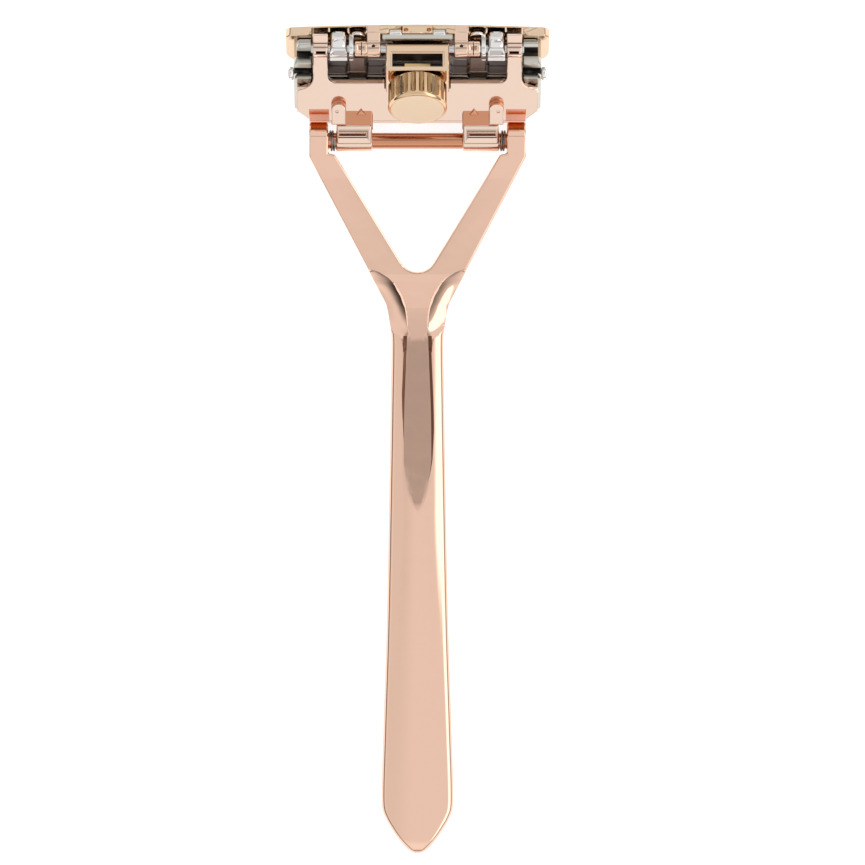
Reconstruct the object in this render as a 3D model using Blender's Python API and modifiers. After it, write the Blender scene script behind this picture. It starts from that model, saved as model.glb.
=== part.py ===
"""Safety razor with a tipping, fan-opening three-blade head.

The razor lies blades down with its knob up: X runs across the head, Y along the handle towards
the head, Z up. Three frames hang from one another. The rod frame sits on the cross rod and holds
the handle. The head frame is tilted from it: Y along the shaving plane, Z away from the skin.
The blade frame is tilted again: Y from the cutting edges to the spines, Z along the knob's axis.
Sections across the head are given as (along, up) in the frame that carries them.
"""
import math

import bmesh
import bpy
from mathutils import Matrix, Vector

MM = 0.001
SMOOTH_ANGLE = math.radians(35)

# Clearances
RUNNING_GAP = 0.08 * MM
SPRING_GAP = 0.1 * MM
SIDE_GAP = 0.25 * MM
OPEN_GAP = 0.3 * MM
SEAT_GAP = 0.03 * MM
WELD_STEP = 0.05 * MM

# Handle
TAIL_TO_ROD = 127.8 * MM
FORK_WIDTH = 38.9 * MM
ARM_WIDTH = 3.45 * MM
ARM_END_RADIUS = 3.4 * MM
ARM_STRAIGHT = 2.9 * MM
ARM_THICKNESS = 5.2 * MM
ARM_ROOT_THICKNESS = 6.1 * MM
ARM_ROOT_TO_ROD = 2.0 * MM
ARM_THIN_TO_ROD = 7.0 * MM
ARM_LEDGE = 1.25 * MM
ARM_LEDGE_TO_ROD = 2.6 * MM
CROTCH_TO_ROD = 23.6 * MM
CROTCH_RADIUS = 3.4 * MM
FLARE_TO_ROD = 29.3 * MM
FLARE_WIDTH = 11.2 * MM
NECK_TO_ROD = 35.8 * MM
NECK_WIDTH = 9.1 * MM
NECK_THICKNESS = 6.4 * MM
NECK_ROOT = 5.0 * MM
GRIP_THICKNESS = 8.0 * MM
GRIP_CROWN = 10.5 * MM
GRIP_CORNER = 2.0 * MM
GRIP_UPPER_WIDTH = 10.16 * MM
GRIP_MIDDLE_WIDTH = 11.0 * MM
GRIP_LOWER_WIDTH = 12.3 * MM
GRIP_END_WIDTH = 12.88 * MM
FLAT_LENGTH = 30.2 * MM
FLAT_SLOPE = math.radians(0.95)
TAIL_TAPER = 7.0 * MM
TAIL_SHOULDER = 1.2 * MM
TAIL_WIDTH = 4.6 * MM
TAIL_THICKNESS = 4.4 * MM
SCOOP_RADIUS = 9.5 * MM
SCOOP_SPREAD = 20.7 * MM
SCOOP_TO_ROD = 30.7 * MM
SCOOP_RISE = 4.6 * MM

# Cross rod, its caps and the return springs
ROD_RADIUS = 1.43 * MM
CAP_RADIUS = 2.0 * MM
CAP_DEPTH = 0.8 * MM
SPRING_SPACE = 1.4 * MM
SPRING_WIRE = 0.16 * MM
SPRING_TURNS = 2
SPRING_STEPS = 14

# How the head sits on the rod and the blades in the head
HEAD_TILT = math.radians(31)
BLADE_ANGLE = math.radians(30)
SKIN_DEPTH = 6.8 * MM

# Blades, the plates that carry them and their magnets
BLADE_LENGTH = 43.0 * MM
BLADE_DEPTH = 11.0 * MM
BLADE_THICKNESS = 0.1 * MM
BLADE_NOTCH = 1.9 * MM
BLADE_SLOT = 3.0 * MM
EDGE_PITCH = 3.44 * MM
FIRST_EDGE = 3.0 * MM
CARRIER_OVERHANG = 0.6 * MM
CARRIER_TAIL = 1.25 * MM
CARRIER_FRONT = 1.1 * MM
CARRIER_CUTBACK = 3.0 * MM
CARRIER_CORNER = 0.8 * MM
BED_THICKNESS = 1.1 * MM
TOP_CARRIER_STEP = 0.55 * MM
MAGNET_RADIUS = 1.6 * MM
MAGNET_DEPTH = 0.7 * MM
MAGNET_SPACING = 22.0 * MM
MAGNET_TO_EDGE = 6.0 * MM

# Lid
LID_OVERHANG = 1.4 * MM
LID_THICKNESS = 1.8 * MM
LID_WEB = 0.7 * MM
LID_FRONT = 8.2 * MM
LID_SPINE = 19.3 * MM
LID_CROWN = 0.9 * MM
LID_CORNER = 1.5 * MM
LID_SPINE_CORNER = 0.8 * MM
LID_EDGE = 0.25 * MM
BAR_DEPTH = 2.2 * MM
BAR_SETBACK = 0.3 * MM
BAR_HEIGHT = 0.72 * MM

# Hinge of the stack (blade frame) and what is threaded on it, from the middle outwards
HINGE_DEPTH = 16.85 * MM
HINGE_HEIGHT = -9.04 * MM
HINGE_PIN_RADIUS = 0.75 * MM
HINGE_BOSS = 1.55 * MM
PIN_HEAD = 0.35 * MM
LUG_SPACE = 0.95 * MM
LUG_WIDTH = 2.4 * MM
HOOK_SPACE = 0.4 * MM
HOOK_WIDTH = 2.8 * MM
LINK_WIDTH = 3.25 * MM
UPRIGHT_WIDTH = 2.7 * MM

# Head base (head frame)
BASE_INSET = 0.2 * MM
BASE_NECK_WIDTH = 37.2 * MM
WALL_THICKNESS = 1.6 * MM
WALL_FACE = 0.9 * MM
WALL_BOTTOM = 4.5 * MM
WALL_HEIGHT = 7.7 * MM
WALL_EAR = 1.9 * MM
UPRIGHT_TOP = 22.0 * MM
UPRIGHT_FILLET = 1.2 * MM
KNUCKLE_RADIUS = 1.9 * MM
KNUCKLE_LENGTH = 6.5 * MM
POST_WIDTH = 1.9 * MM
POST_LENGTH = 3.4 * MM
POST_HEIGHT = 1.65 * MM
GUARD_LIP = 0.9 * MM
END_PIN_RADIUS = 1.0 * MM
END_PIN_TO_SPINE = 3.5 * MM

# Yoke (blade frame)
YOKE_WIDTH = 11.3 * MM
YOKE_FACE = 18.0 * MM
YOKE_TOP = -9.83 * MM
YOKE_SEAT = -3.86 * MM
YOKE_STEP = -6.9 * MM
YOKE_BACK = 10.4 * MM
YOKE_WALL = 1.0 * MM
YOKE_FLOOR = 0.95 * MM
YOKE_HOOK = 2.7 * MM
YOKE_CORNER = 0.6 * MM
WINDOW_WIDTH = 9.1 * MM
WINDOW_TOP = -7.59 * MM

# Knob, screw and nut
KNOB_DEPTH = 13.77 * MM
KNOB_RADIUS = 5.27 * MM
KNOB_HEIGHT = 5.0 * MM
KNOB_CHAMFER = 0.6 * MM
KNOB_SKIRT = 0.6 * MM
KNOB_FLUTES = 24
KNOB_FLUTE_RADIUS = 0.34 * MM
SCREW_RADIUS = 1.2 * MM
SCREW_GRIP = 2.5 * MM
WASHER_RADIUS = 2.6 * MM
WASHER_THICKNESS = 0.4 * MM
CLIP_RADIUS = 2.2 * MM
CLIP_THICKNESS = 0.35 * MM
NUT_WIDTH = 4.6 * MM
NUT_DEPTH = 4.3 * MM
NUT_THICKNESS = 1.0 * MM

# Widths and places that follow from the sizes above
CARRIER_WIDTH = BLADE_LENGTH + 2 * CARRIER_OVERHANG
LID_WIDTH = CARRIER_WIDTH + 2 * LID_OVERHANG
BASE_WIDTH = CARRIER_WIDTH - 2 * BASE_INSET
WALL_TOP = WALL_BOTTOM + WALL_HEIGHT
LUG = (YOKE_WIDTH / 2 + LUG_SPACE, YOKE_WIDTH / 2 + LUG_SPACE + LUG_WIDTH)
HOOK = (LUG[1] + HOOK_SPACE, LUG[1] + HOOK_SPACE + HOOK_WIDTH)
LINK = (HOOK[1] + SIDE_GAP, HOOK[1] + SIDE_GAP + LINK_WIDTH)
UPRIGHT = (LINK[1] + SIDE_GAP, LINK[1] + SIDE_GAP + UPRIGHT_WIDTH)
ARM_INNER = FORK_WIDTH / 2 - ARM_WIDTH
KNUCKLE = (ARM_INNER - SPRING_SPACE - KNUCKLE_LENGTH, ARM_INNER - SPRING_SPACE)
POST = (ARM_INNER - HOOK_SPACE - POST_WIDTH, ARM_INNER - HOOK_SPACE)
HINGE = (HINGE_DEPTH, HINGE_HEIGHT)
ROD_HEIGHT = SKIN_DEPTH * math.cos(HEAD_TILT)
GRIP_LENGTH = TAIL_TO_ROD - TAIL_TAPER - NECK_TO_ROD


def edge_point(index):
    """Cutting edge of blade 0, 1 or 2 in the blade frame, as (depth, height)."""
    along = FIRST_EDGE + index * EDGE_PITCH
    return (along * math.cos(BLADE_ANGLE) - SKIN_DEPTH * math.sin(BLADE_ANGLE),
            -along * math.sin(BLADE_ANGLE) - SKIN_DEPTH * math.cos(BLADE_ANGLE))


def spine_of(index):
    """Depth of a carrier's spine in the blade frame."""
    return edge_point(index)[0] + BLADE_DEPTH + CARRIER_TAIL


def under_blade(index):
    """Height of the seat on which a blade lies, in the blade frame."""
    return edge_point(index)[1] + BLADE_THICKNESS / 2 + SEAT_GAP


def over_blade(index):
    """Height just clear of a blade's outer face, in the blade frame."""
    return edge_point(index)[1] - BLADE_THICKNESS / 2 - SEAT_GAP


LID_INNER = over_blade(2)
LID_OUTER = LID_INNER - LID_THICKNESS
BED_TOP = under_blade(0) + BED_THICKNESS
STACK_TILT = HEAD_TILT + BLADE_ANGLE
LID_REACH = (LID_SPINE - LID_EDGE) * math.cos(STACK_TILT) - LID_OUTER * math.sin(STACK_TILT)
ROD_Y = (TAIL_TO_ROD - LID_REACH) / 2


def to_head(depth, height):
    """A blade-frame point (depth, height) as a head-frame point (along, up)."""
    return (depth * math.cos(BLADE_ANGLE) - height * math.sin(BLADE_ANGLE),
            depth * math.sin(BLADE_ANGLE) + height * math.cos(BLADE_ANGLE))


# ---------------------------------------------------------------- shapes

def extruded(corners, sweep):
    """A closed outline swept along one vector."""
    shape = bmesh.new()
    face = shape.faces.new([shape.verts.new(corner) for corner in corners])
    swept = bmesh.ops.extrude_face_region(shape, geom=[face])
    moved = [v for v in swept["geom"] if isinstance(v, bmesh.types.BMVert)]
    bmesh.ops.translate(shape, verts=moved, vec=sweep)
    bmesh.ops.recalc_face_normals(shape, faces=shape.faces)
    return shape


def prism(points, low, high):
    """A closed outline in the YZ plane, extruded along X from low to high."""
    return extruded([(low, y, z) for y, z in points], (high - low, 0, 0))


def plate(points, low, high):
    """A closed outline in the XY plane, extruded along Z from low to high."""
    return extruded([(x, y, low) for x, y in points], (0, 0, high - low))


def box(low, high):
    """A box between two corners."""
    shape = bmesh.new()
    size = [b - a for a, b in zip(low, high)]
    middle = [(a + b) / 2 for a, b in zip(low, high)]
    bmesh.ops.create_cube(shape, size=1.0,
                          matrix=Matrix.Translation(middle) @ Matrix.Diagonal((*size, 1.0)))
    return shape


def round_bar(radius, length, place, sides):
    """A cylinder along Z about the origin, put in its place by a matrix."""
    shape = bmesh.new()
    bmesh.ops.create_cone(shape, cap_ends=True, segments=sides, radius1=radius, radius2=radius,
                          depth=length, matrix=place)
    return shape


def cylinder_x(radius, low, high, at, sides=24):
    """A round bar along X, centred on (y, z)."""
    turn = Matrix.Rotation(math.pi / 2, 4, "Y")
    return round_bar(radius, high - low, Matrix.Translation(((low + high) / 2, *at)) @ turn, sides)


def cylinder_z(radius, low, high, at, sides=24):
    """A round bar along Z, centred on (x, y)."""
    return round_bar(radius, high - low, Matrix.Translation((*at, (low + high) / 2)), sides)


def arc(centre, radius, start, end, steps):
    """Points along an arc, angles in degrees."""
    turns = [math.radians(start + (end - start) * i / steps) for i in range(steps + 1)]
    return [(centre[0] + radius * math.cos(t), centre[1] + radius * math.sin(t)) for t in turns]


def loft(rings):
    """A closed skin through rings with the same number of points, with both ends filled."""
    shape = bmesh.new()
    rows = [[shape.verts.new(point) for point in ring] for ring in rings]
    for near, far in zip(rows, rows[1:]):
        for i in range(len(near)):
            j = (i + 1) % len(near)
            shape.faces.new((near[i], near[j], far[j], far[i]))
    shape.faces.new(rows[0])
    shape.faces.new(rows[-1])
    bmesh.ops.recalc_face_normals(shape, faces=shape.faces)
    return shape


def mirrored(points):
    """A right-hand outline, bottom to top, closed with its mirror image."""
    return points + [(-x, y) for x, y in reversed(points) if x > 1e-7]


def span(side, stretch):
    """The low and high X of an (inner, outer) stretch on one side."""
    return stretch if side > 0 else (-stretch[1], -stretch[0])


# ---------------------------------------------------------------- objects

def collection(name):
    made = bpy.data.collections.new(name)
    bpy.context.scene.collection.children.link(made)
    return made


def metal(name, colour, roughness):
    """A plated or bare metal."""
    made = bpy.data.materials.new(name)
    made.use_nodes = True
    shader = made.node_tree.nodes["Principled BSDF"]
    shader.inputs["Base Color"].default_value = (*colour, 1.0)
    shader.inputs["Roughness"].default_value = roughness
    shader.inputs["Metallic"].default_value = 1.0
    return made


def frame(name, parent, location, tilt):
    """An empty that carries one of the three frames."""
    made = bpy.data.objects.new(name, None)
    RAZOR.objects.link(made)
    made.parent = parent
    made.location = location
    made.rotation_euler.x = tilt
    return made


def pivot(name, at):
    """An empty on a moving body's axis, at (depth, height) in the blade frame."""
    made = frame(name, BLADE_FRAME, (0, *at), 0.0)
    PIVOTS.add(made.name)
    return made


def piece(name, shape, finish, parent, home=None):
    """Make an object of a shape that is given in the coordinates of the frame that carries it."""
    if parent.name in PIVOTS:
        bmesh.ops.translate(shape, verts=shape.verts, vec=-parent.location)
    mesh = bpy.data.meshes.new(name)
    shape.to_mesh(mesh)
    shape.free()
    mesh.shade_smooth()
    mesh.set_sharp_from_angle(angle=SMOOTH_ANGLE)
    made = bpy.data.objects.new(name, mesh)
    (home or RAZOR).objects.link(made)
    made.parent = parent
    if finish is not None:
        mesh.materials.append(finish)
    return made


def change(target, shape, operation):
    """Join a shape to a piece, cut it away, or keep only what both share."""
    other = piece("tool", shape, None, target.parent, CUTTERS)
    other.hide_render = True
    other.display_type = "WIRE"
    step = target.modifiers.new(operation.lower(), "BOOLEAN")
    step.operation = operation
    step.object = other
    step.solver = "EXACT"


def join(target, *shapes):
    for shape in shapes:
        change(target, shape, "UNION")


def cut(target, *shapes):
    for shape in shapes:
        change(target, shape, "DIFFERENCE")


def soften(target, width, steps=1):
    """Bevel the sharp edges."""
    step = target.modifiers.new("edges", "BEVEL")
    step.width = width
    step.segments = steps
    step.limit_method = "ANGLE"
    step.angle_limit = SMOOTH_ANGLE


# ---------------------------------------------------------------- handle

def centre_line(distance):
    """Height of the handle's middle: it drops until the grip lies on the surface."""
    drop = ROD_HEIGHT - GRIP_THICKNESS / 2
    return -drop * distance / (TAIL_TO_ROD - TAIL_TAPER)


def between(stations, distance):
    """The value at a distance, from (distance, value) stations."""
    for (near, first), (far, second) in zip(stations, stations[1:]):
        if distance <= far:
            share = max(0.0, (distance - near) / (far - near))
            return first + (second - first) * share
    return stations[-1][1]


def down_grip(share):
    """Distance from the rod to a share of the way down the grip."""
    return NECK_TO_ROD + GRIP_LENGTH * share


GRIP_WIDTHS = [(NECK_TO_ROD, NECK_WIDTH), (down_grip(0.33), GRIP_UPPER_WIDTH),
               (down_grip(0.59), GRIP_MIDDLE_WIDTH), (down_grip(0.84), GRIP_LOWER_WIDTH),
               (down_grip(1.0), GRIP_END_WIDTH),
               (down_grip(1.0) + TAIL_SHOULDER, GRIP_END_WIDTH - TAIL_SHOULDER),
               (TAIL_TO_ROD, TAIL_WIDTH)]
GRIP_DEPTHS = [(NECK_TO_ROD, NECK_THICKNESS), (down_grip(0.33), GRIP_THICKNESS - 2 * RUNNING_GAP),
               (down_grip(1.0), GRIP_THICKNESS), (TAIL_TO_ROD, TAIL_THICKNESS)]
FLAT_TIP = NECK_TO_ROD + FLAT_LENGTH


def flat_height(distance):
    """Height above the middle of the flat that runs from the fork into the grip's crown."""
    return between(GRIP_DEPTHS, FLAT_TIP) / 2 - (FLAT_TIP - distance) * math.tan(FLAT_SLOPE)


def grip_ring(distance):
    """One section of the grip: a flat let into a crowned face, round corners and a flat back."""
    half = between(GRIP_WIDTHS, distance) / 2
    apex = between(GRIP_DEPTHS, distance) / 2
    corner = min(GRIP_CORNER, half * 0.55, apex * 0.8)
    shoulder = half - corner
    drop = max(0.0, apex - flat_height(distance)) if distance < FLAT_TIP else 0.0
    crease = min(max(math.sqrt(2 * GRIP_CROWN * drop), WELD_STEP), shoulder * 0.9)
    right = [(0.0, apex - drop)]
    for step in range(5):
        across = crease + (shoulder - crease) * step / 4
        right.append((across, min(apex - across ** 2 / (2 * GRIP_CROWN), apex - drop)))
    right += arc((shoulder, right[-1][1] - corner), corner, 70, 0, 4)
    right += arc((shoulder, corner - apex), corner, 0, -90, 4)
    ring = right + [(0.0, -apex)] + [(-x, z) for x, z in reversed(right[1:])]
    return [(x, -distance, centre_line(distance) + z) for x, z in ring]


def grip_stations():
    """Distances of the grip's sections: its own stations, and rows between them on the flat."""
    rows = {station for station, _ in GRIP_WIDTHS + GRIP_DEPTHS} | {FLAT_TIP, NECK_TO_ROD - NECK_ROOT}
    rows |= {NECK_TO_ROD + FLAT_LENGTH * step / 6 for step in range(1, 6)}
    return sorted(rows)


def side_outline():
    """The fork seen from the side, in the rod frame: a boss, thinner arms and the neck's flat."""
    root = [(ARM_ROOT_TO_ROD, ARM_ROOT_THICKNESS / 2), (ARM_THIN_TO_ROD, ARM_THICKNESS / 2),
            (CROTCH_TO_ROD - CROTCH_RADIUS, ARM_THICKNESS / 2)]
    under = [(-d, centre_line(d) - half) for d, half in root]
    over = [(-d, centre_line(d) + half) for d, half in root]
    low = NECK_TO_ROD + NECK_ROOT
    under.append((-low, centre_line(low) - ARM_THICKNESS / 2))
    over += [(-d, centre_line(d) + flat_height(d) - WELD_STEP) for d in (NECK_TO_ROD, low)]
    return under[::-1] + arc((0, 0), ARM_END_RADIUS, -80, 80, 14) + over


def fork_outline():
    """The fork seen from above, right half, from the neck's middle round to the crotch."""
    half = FORK_WIDTH / 2
    crotch = (0.0, CROTCH_RADIUS - CROTCH_TO_ROD)
    foot = (ARM_INNER - ARM_LEDGE, -ARM_LEDGE_TO_ROD)
    reach = math.hypot(foot[0], foot[1] - crotch[1])
    lean = math.degrees(math.atan2(foot[1] - crotch[1], foot[0]))
    tangent = lean - math.degrees(math.acos(CROTCH_RADIUS / reach))
    low = -NECK_TO_ROD - NECK_ROOT
    neck = NECK_WIDTH / 2 - CARRIER_TAIL
    return [(0.0, low), (neck, low), (NECK_WIDTH / 2 - WELD_STEP, -NECK_TO_ROD),
            (FLARE_WIDTH / 2, -FLARE_TO_ROD), (half, -ARM_STRAIGHT), (half, 2 * ARM_END_RADIUS),
            (ARM_INNER, 2 * ARM_END_RADIUS), (ARM_INNER, foot[1] + SIDE_GAP), foot] + \
        arc(crotch, CROTCH_RADIUS, tangent, -90, 10)


def build_handle(rose):
    handle = piece("handle", plate(mirrored(fork_outline()), -GRIP_THICKNESS, GRIP_THICKNESS), rose,
                   ROD_FRAME)
    change(handle, prism(side_outline(), -FORK_WIDTH, FORK_WIDTH), "INTERSECT")
    join(handle, loft([grip_ring(row) for row in grip_stations()]))
    top = centre_line(SCOOP_TO_ROD) + flat_height(SCOOP_TO_ROD) + SCOOP_RISE
    for side in (1, -1):
        scoop = bmesh.new()
        bmesh.ops.create_uvsphere(scoop, u_segments=36, v_segments=24, radius=SCOOP_RADIUS)
        bmesh.ops.translate(scoop, verts=scoop.verts,
                            vec=(side * SCOOP_SPREAD / 2, -SCOOP_TO_ROD, top))
        cut(handle, scoop)
        bore = span(side, (ARM_INNER - ARM_WIDTH, FORK_WIDTH))
        seat = span(side, (FORK_WIDTH / 2 - CAP_DEPTH, FORK_WIDTH))
        cut(handle, cylinder_x(ROD_RADIUS + RUNNING_GAP, *bore, (0, 0)),
            cylinder_x(CAP_RADIUS + RUNNING_GAP, *seat, (0, 0)))


def build_rod(rose, steel):
    half = FORK_WIDTH / 2 - CAP_DEPTH - RUNNING_GAP
    piece("cross_rod", cylinder_x(ROD_RADIUS, -half, half, (0, 0)), rose, ROD_FRAME)
    for side, word in ((1, "right"), (-1, "left")):
        ends = span(side, (half + RUNNING_GAP, FORK_WIDTH / 2 - RUNNING_GAP))
        piece("rod_cap_" + word, cylinder_x(CAP_RADIUS, *ends, (0, 0)), rose, ROD_FRAME)
        build_spring(side, word, steel)


def build_spring(side, word, steel):
    """A torsion spring round the cross rod, between the arm and the knuckle."""
    inner = KNUCKLE[1] + SPRING_GAP + SPRING_WIRE
    outer = ARM_INNER - SPRING_GAP - SPRING_WIRE
    radius = ROD_RADIUS + SPRING_GAP + SPRING_WIRE
    count = SPRING_TURNS * SPRING_STEPS
    wire = bpy.data.curves.new("return_spring_" + word, "CURVE")
    wire.dimensions = "3D"
    wire.bevel_depth = SPRING_WIRE
    wire.bevel_resolution = 1
    wire.use_fill_caps = True
    path = wire.splines.new("POLY")
    path.points.add(count)
    for step in range(count + 1):
        turn = 2 * math.pi * step / SPRING_STEPS
        along = side * (inner + (outer - inner) * step / count)
        path.points[step].co = (along, radius * math.cos(turn), radius * math.sin(turn), 1.0)
    wire.materials.append(steel)
    spring = bpy.data.objects.new("return_spring_" + word, wire)
    RAZOR.objects.link(spring)
    spring.parent = ROD_FRAME


# ---------------------------------------------------------------- head base

def wall_outline():
    """The back wall with its uprights and shoulders, right half, in head-frame X and Y."""
    half = BASE_WIDTH / 2
    neck = BASE_NECK_WIDTH / 2
    ear = WALL_EAR
    fillet = (UPRIGHT[0] - UPRIGHT_FILLET, WALL_TOP + UPRIGHT_FILLET)
    return [(0.0, WALL_BOTTOM), (half - 1.3 * ear, WALL_BOTTOM), (half - 0.4 * ear, WALL_BOTTOM + ear),
            (half, WALL_BOTTOM + 1.4 * ear), (half, WALL_TOP - ear), (neck + ear, WALL_TOP - 0.6 * ear),
            (neck + 0.3 * ear, WALL_TOP - 0.25 * ear), (UPRIGHT[1], WALL_TOP + 0.5 * ear),
            (UPRIGHT[1], UPRIGHT_TOP), (UPRIGHT[0], UPRIGHT_TOP)] + \
        arc(fillet, UPRIGHT_FILLET, 0, -90, 5) + [(0.0, WALL_TOP)]


def guard_section():
    """The guard below the blade bed, from its lip on the skin up to the wall, in the head frame."""
    clear = BED_TOP + SEAT_GAP
    front = to_head(edge_point(0)[0] - CARRIER_FRONT - GUARD_LIP, clear)
    back = to_head(spine_of(0) - BLADE_NOTCH, clear)
    root = WALL_BOTTOM + BASE_INSET
    return [(SIDE_GAP, -SKIN_DEPTH), (GUARD_LIP, -SKIN_DEPTH + SEAT_GAP), front, back,
            (back[0], WALL_FACE - BASE_INSET), (root, WALL_FACE - BASE_INSET),
             (root, WALL_FACE - WALL_THICKNESS - GUARD_LIP),
             (1.2 * GUARD_LIP, 1.9 * GUARD_LIP - SKIN_DEPTH),
            (0.1 * GUARD_LIP, GUARD_LIP - SKIN_DEPTH), (0.0, 0.4 * GUARD_LIP - SKIN_DEPTH)]


def gusset_section():
    """The web from a knuckle up to the wall, in the head frame."""
    root = WALL_BOTTOM + WALL_FACE
    return [(RUNNING_GAP + ROD_RADIUS / 3, -ROD_RADIUS), (root, WALL_FACE - WALL_THICKNESS - SIDE_GAP),
            (root + KNUCKLE_RADIUS, WALL_FACE - SIDE_GAP), (root, WALL_FACE + KNUCKLE_RADIUS / 3),
            (SIDE_GAP, KNUCKLE_RADIUS - RUNNING_GAP)]


def clear_stack(base):
    """Cut the base back from the blade bed: shallow behind the uprights, deeper at the ends."""
    under = BED_TOP + 2 * SEAT_GAP
    depth = WALL_HEIGHT
    ends = UPRIGHT[1] + SEAT_GAP
    for spine, low, high in ((spine_of(0) - CARRIER_CUTBACK, -ends, ends),
                             (spine_of(0), ends, BASE_WIDTH), (spine_of(0), -BASE_WIDTH, -ends)):
        corners = [(-depth, under), (spine + OPEN_GAP, under), (spine + OPEN_GAP, under - depth),
                   (-depth, under - depth)]
        cut(base, prism([to_head(*corner) for corner in corners], low, high))


def build_base(rose):
    base = piece("head_base", plate(mirrored(wall_outline()), WALL_FACE - WALL_THICKNESS, WALL_FACE),
                 rose, HEAD_FRAME)
    half = BASE_WIDTH / 2 - BASE_INSET
    join(base, prism(guard_section(), -half, half))
    hinge = to_head(*HINGE)
    for side in (1, -1):
        eye = (UPRIGHT[0] + WELD_STEP, UPRIGHT[1] - WELD_STEP)
        gusset = (KNUCKLE[0] + HOOK_SPACE, POST[0] - SIDE_GAP)
        join(base, cylinder_x(HINGE_BOSS, *span(side, eye), hinge),
             cylinder_x(KNUCKLE_RADIUS, *span(side, KNUCKLE), (0, 0)),
             prism(gusset_section(), *span(side, gusset)))
    cut(base, cylinder_x(HINGE_PIN_RADIUS + RUNNING_GAP, -BASE_WIDTH, BASE_WIDTH, hinge),
        cylinder_x(ROD_RADIUS + RUNNING_GAP, -BASE_WIDTH, BASE_WIDTH, (0, 0)))
    room = YOKE_FACE + WALL_HEIGHT
    high = YOKE_SEAT + OPEN_GAP
    low = YOKE_STEP - WALL_HEIGHT
    notch = [(YOKE_BACK - OPEN_GAP, low), (YOKE_BACK - OPEN_GAP, high), (room, high), (room, low)]
    wide = YOKE_WIDTH / 2 + OPEN_GAP
    cut(base, prism([to_head(*corner) for corner in notch], -wide, wide))
    under_lid = LID_INNER + OPEN_GAP
    trim = [(YOKE_BACK, under_lid), (room, under_lid), (room, under_lid - WALL_HEIGHT),
            (YOKE_BACK, under_lid - WALL_HEIGHT)]
    cut(base, prism([to_head(*corner) for corner in trim], -BASE_WIDTH, BASE_WIDTH))
    clear_stack(base)


def build_posts(rose):
    """The posts on the wall against which the return springs push."""
    low = WALL_BOTTOM - WELD_STEP
    foot = WALL_FACE + WELD_STEP
    section = [(low, foot), (low + POST_LENGTH, foot), (low + POST_LENGTH, foot + POST_HEIGHT / 2),
               (low + POST_LENGTH / 4, foot + POST_HEIGHT), (low, foot + POST_HEIGHT * 0.9)]
    for side, word in ((1, "right"), (-1, "left")):
        post = piece("spring_post_" + word, prism(section, *span(side, POST)), rose, HEAD_FRAME)
        soften(post, SIDE_GAP)


# ---------------------------------------------------------------- blade stack

def blade_outline(front):
    """Half of a snapped double-edge blade: notched ends and three slots in its spine."""
    half = BLADE_LENGTH / 2
    spine = front + BLADE_DEPTH
    notch = BLADE_NOTCH
    slot = BLADE_SLOT
    bottom = spine - notch / 2
    return [(0.0, front), (half - CARRIER_FRONT, front), (half - CARRIER_FRONT, front + 1.4 * notch),
            (half, front + 1.8 * notch), (half, spine - notch), (half - slot, spine - notch),
            (half - slot, spine), (half - 3 * slot, spine), (half - 3.1 * slot, bottom),
            (half - 4.1 * slot, bottom), (half - 4.2 * slot, spine), (1.5 * slot, spine),
            (1.4 * slot, bottom), (0.0, bottom)]


def carrier_outline(index, half):
    """A carrier plate in plan, right half: full depth at its ends, short behind the uprights."""
    front = edge_point(index)[0] + CARRIER_FRONT
    spine = spine_of(index)
    clear = UPRIGHT[1] + OPEN_GAP
    corner = CARRIER_CORNER
    return [(0.0, front), (half - corner, front), (half, front + corner), (half, spine - corner / 2),
            (half - corner / 2, spine), (clear, spine), (clear, spine - CARRIER_CUTBACK),
            (0.0, spine - CARRIER_CUTBACK)]


def arm_section(index, low, high):
    """The arm from a carrier plate up behind its blade to the hinge, in the blade frame."""
    root = spine_of(index) - CARRIER_CUTBACK - 2 * SIDE_GAP
    turn = min(max(edge_point(index)[0] + BLADE_DEPTH + OPEN_GAP, HINGE[0] - 1.2 * HINGE_BOSS),
               HINGE[0] - 0.6 * HINGE_BOSS)
    upper = low + WELD_STEP
    back = HINGE[0] - 0.4 * HINGE_BOSS
    return [(root, upper), (turn, upper), (back, min(upper, HINGE[1] - 0.6 * HINGE_BOSS)),
            (back, HINGE[1] + 0.7 * HINGE_BOSS), (root, high - WELD_STEP)]


def build_level(word, index, pivot_at, link, finish, steel, magnet_finish):
    """One blade, the plate that carries it with its links round the hinge, and two magnets."""
    seat = under_blade(index)
    back = over_blade(index - 1) if index else BED_TOP
    half = CARRIER_WIDTH / 2 - (TOP_CARRIER_STEP if index == 2 else 0.0)
    name = word + "_carrier" if link else word + "_bed"
    carrier = piece(name, plate(mirrored(carrier_outline(index, half)), seat, back), finish, pivot_at)
    for side in (1, -1) if link else ():
        weld = (link[0] + WELD_STEP, link[1] - WELD_STEP)
        join(carrier, prism(arm_section(index, *sorted((seat, back))), *span(side, weld)),
             cylinder_x(HINGE_BOSS, *span(side, link), HINGE))
    if link:
        cut(carrier, cylinder_x(HINGE_PIN_RADIUS + RUNNING_GAP, -BASE_WIDTH, BASE_WIDTH, HINGE))
    for side, hand in ((1, "right"), (-1, "left")):
        at = (side * MAGNET_SPACING / 2, edge_point(index)[0] + MAGNET_TO_EDGE)
        floor = seat + MAGNET_DEPTH
        cut(carrier, cylinder_z(MAGNET_RADIUS + RUNNING_GAP, seat - MAGNET_DEPTH, floor, at))
        disc = cylinder_z(MAGNET_RADIUS, seat + WELD_STEP, floor - WELD_STEP, at)
        piece(f"magnet_{word}_{hand}", disc, magnet_finish, pivot_at)
    front, height = edge_point(index)
    blade = plate(mirrored(blade_outline(front)), height - BLADE_THICKNESS / 2,
                  height + BLADE_THICKNESS / 2)
    piece("blade_" + word, blade, steel, pivot_at)


# ---------------------------------------------------------------- lid

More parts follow.
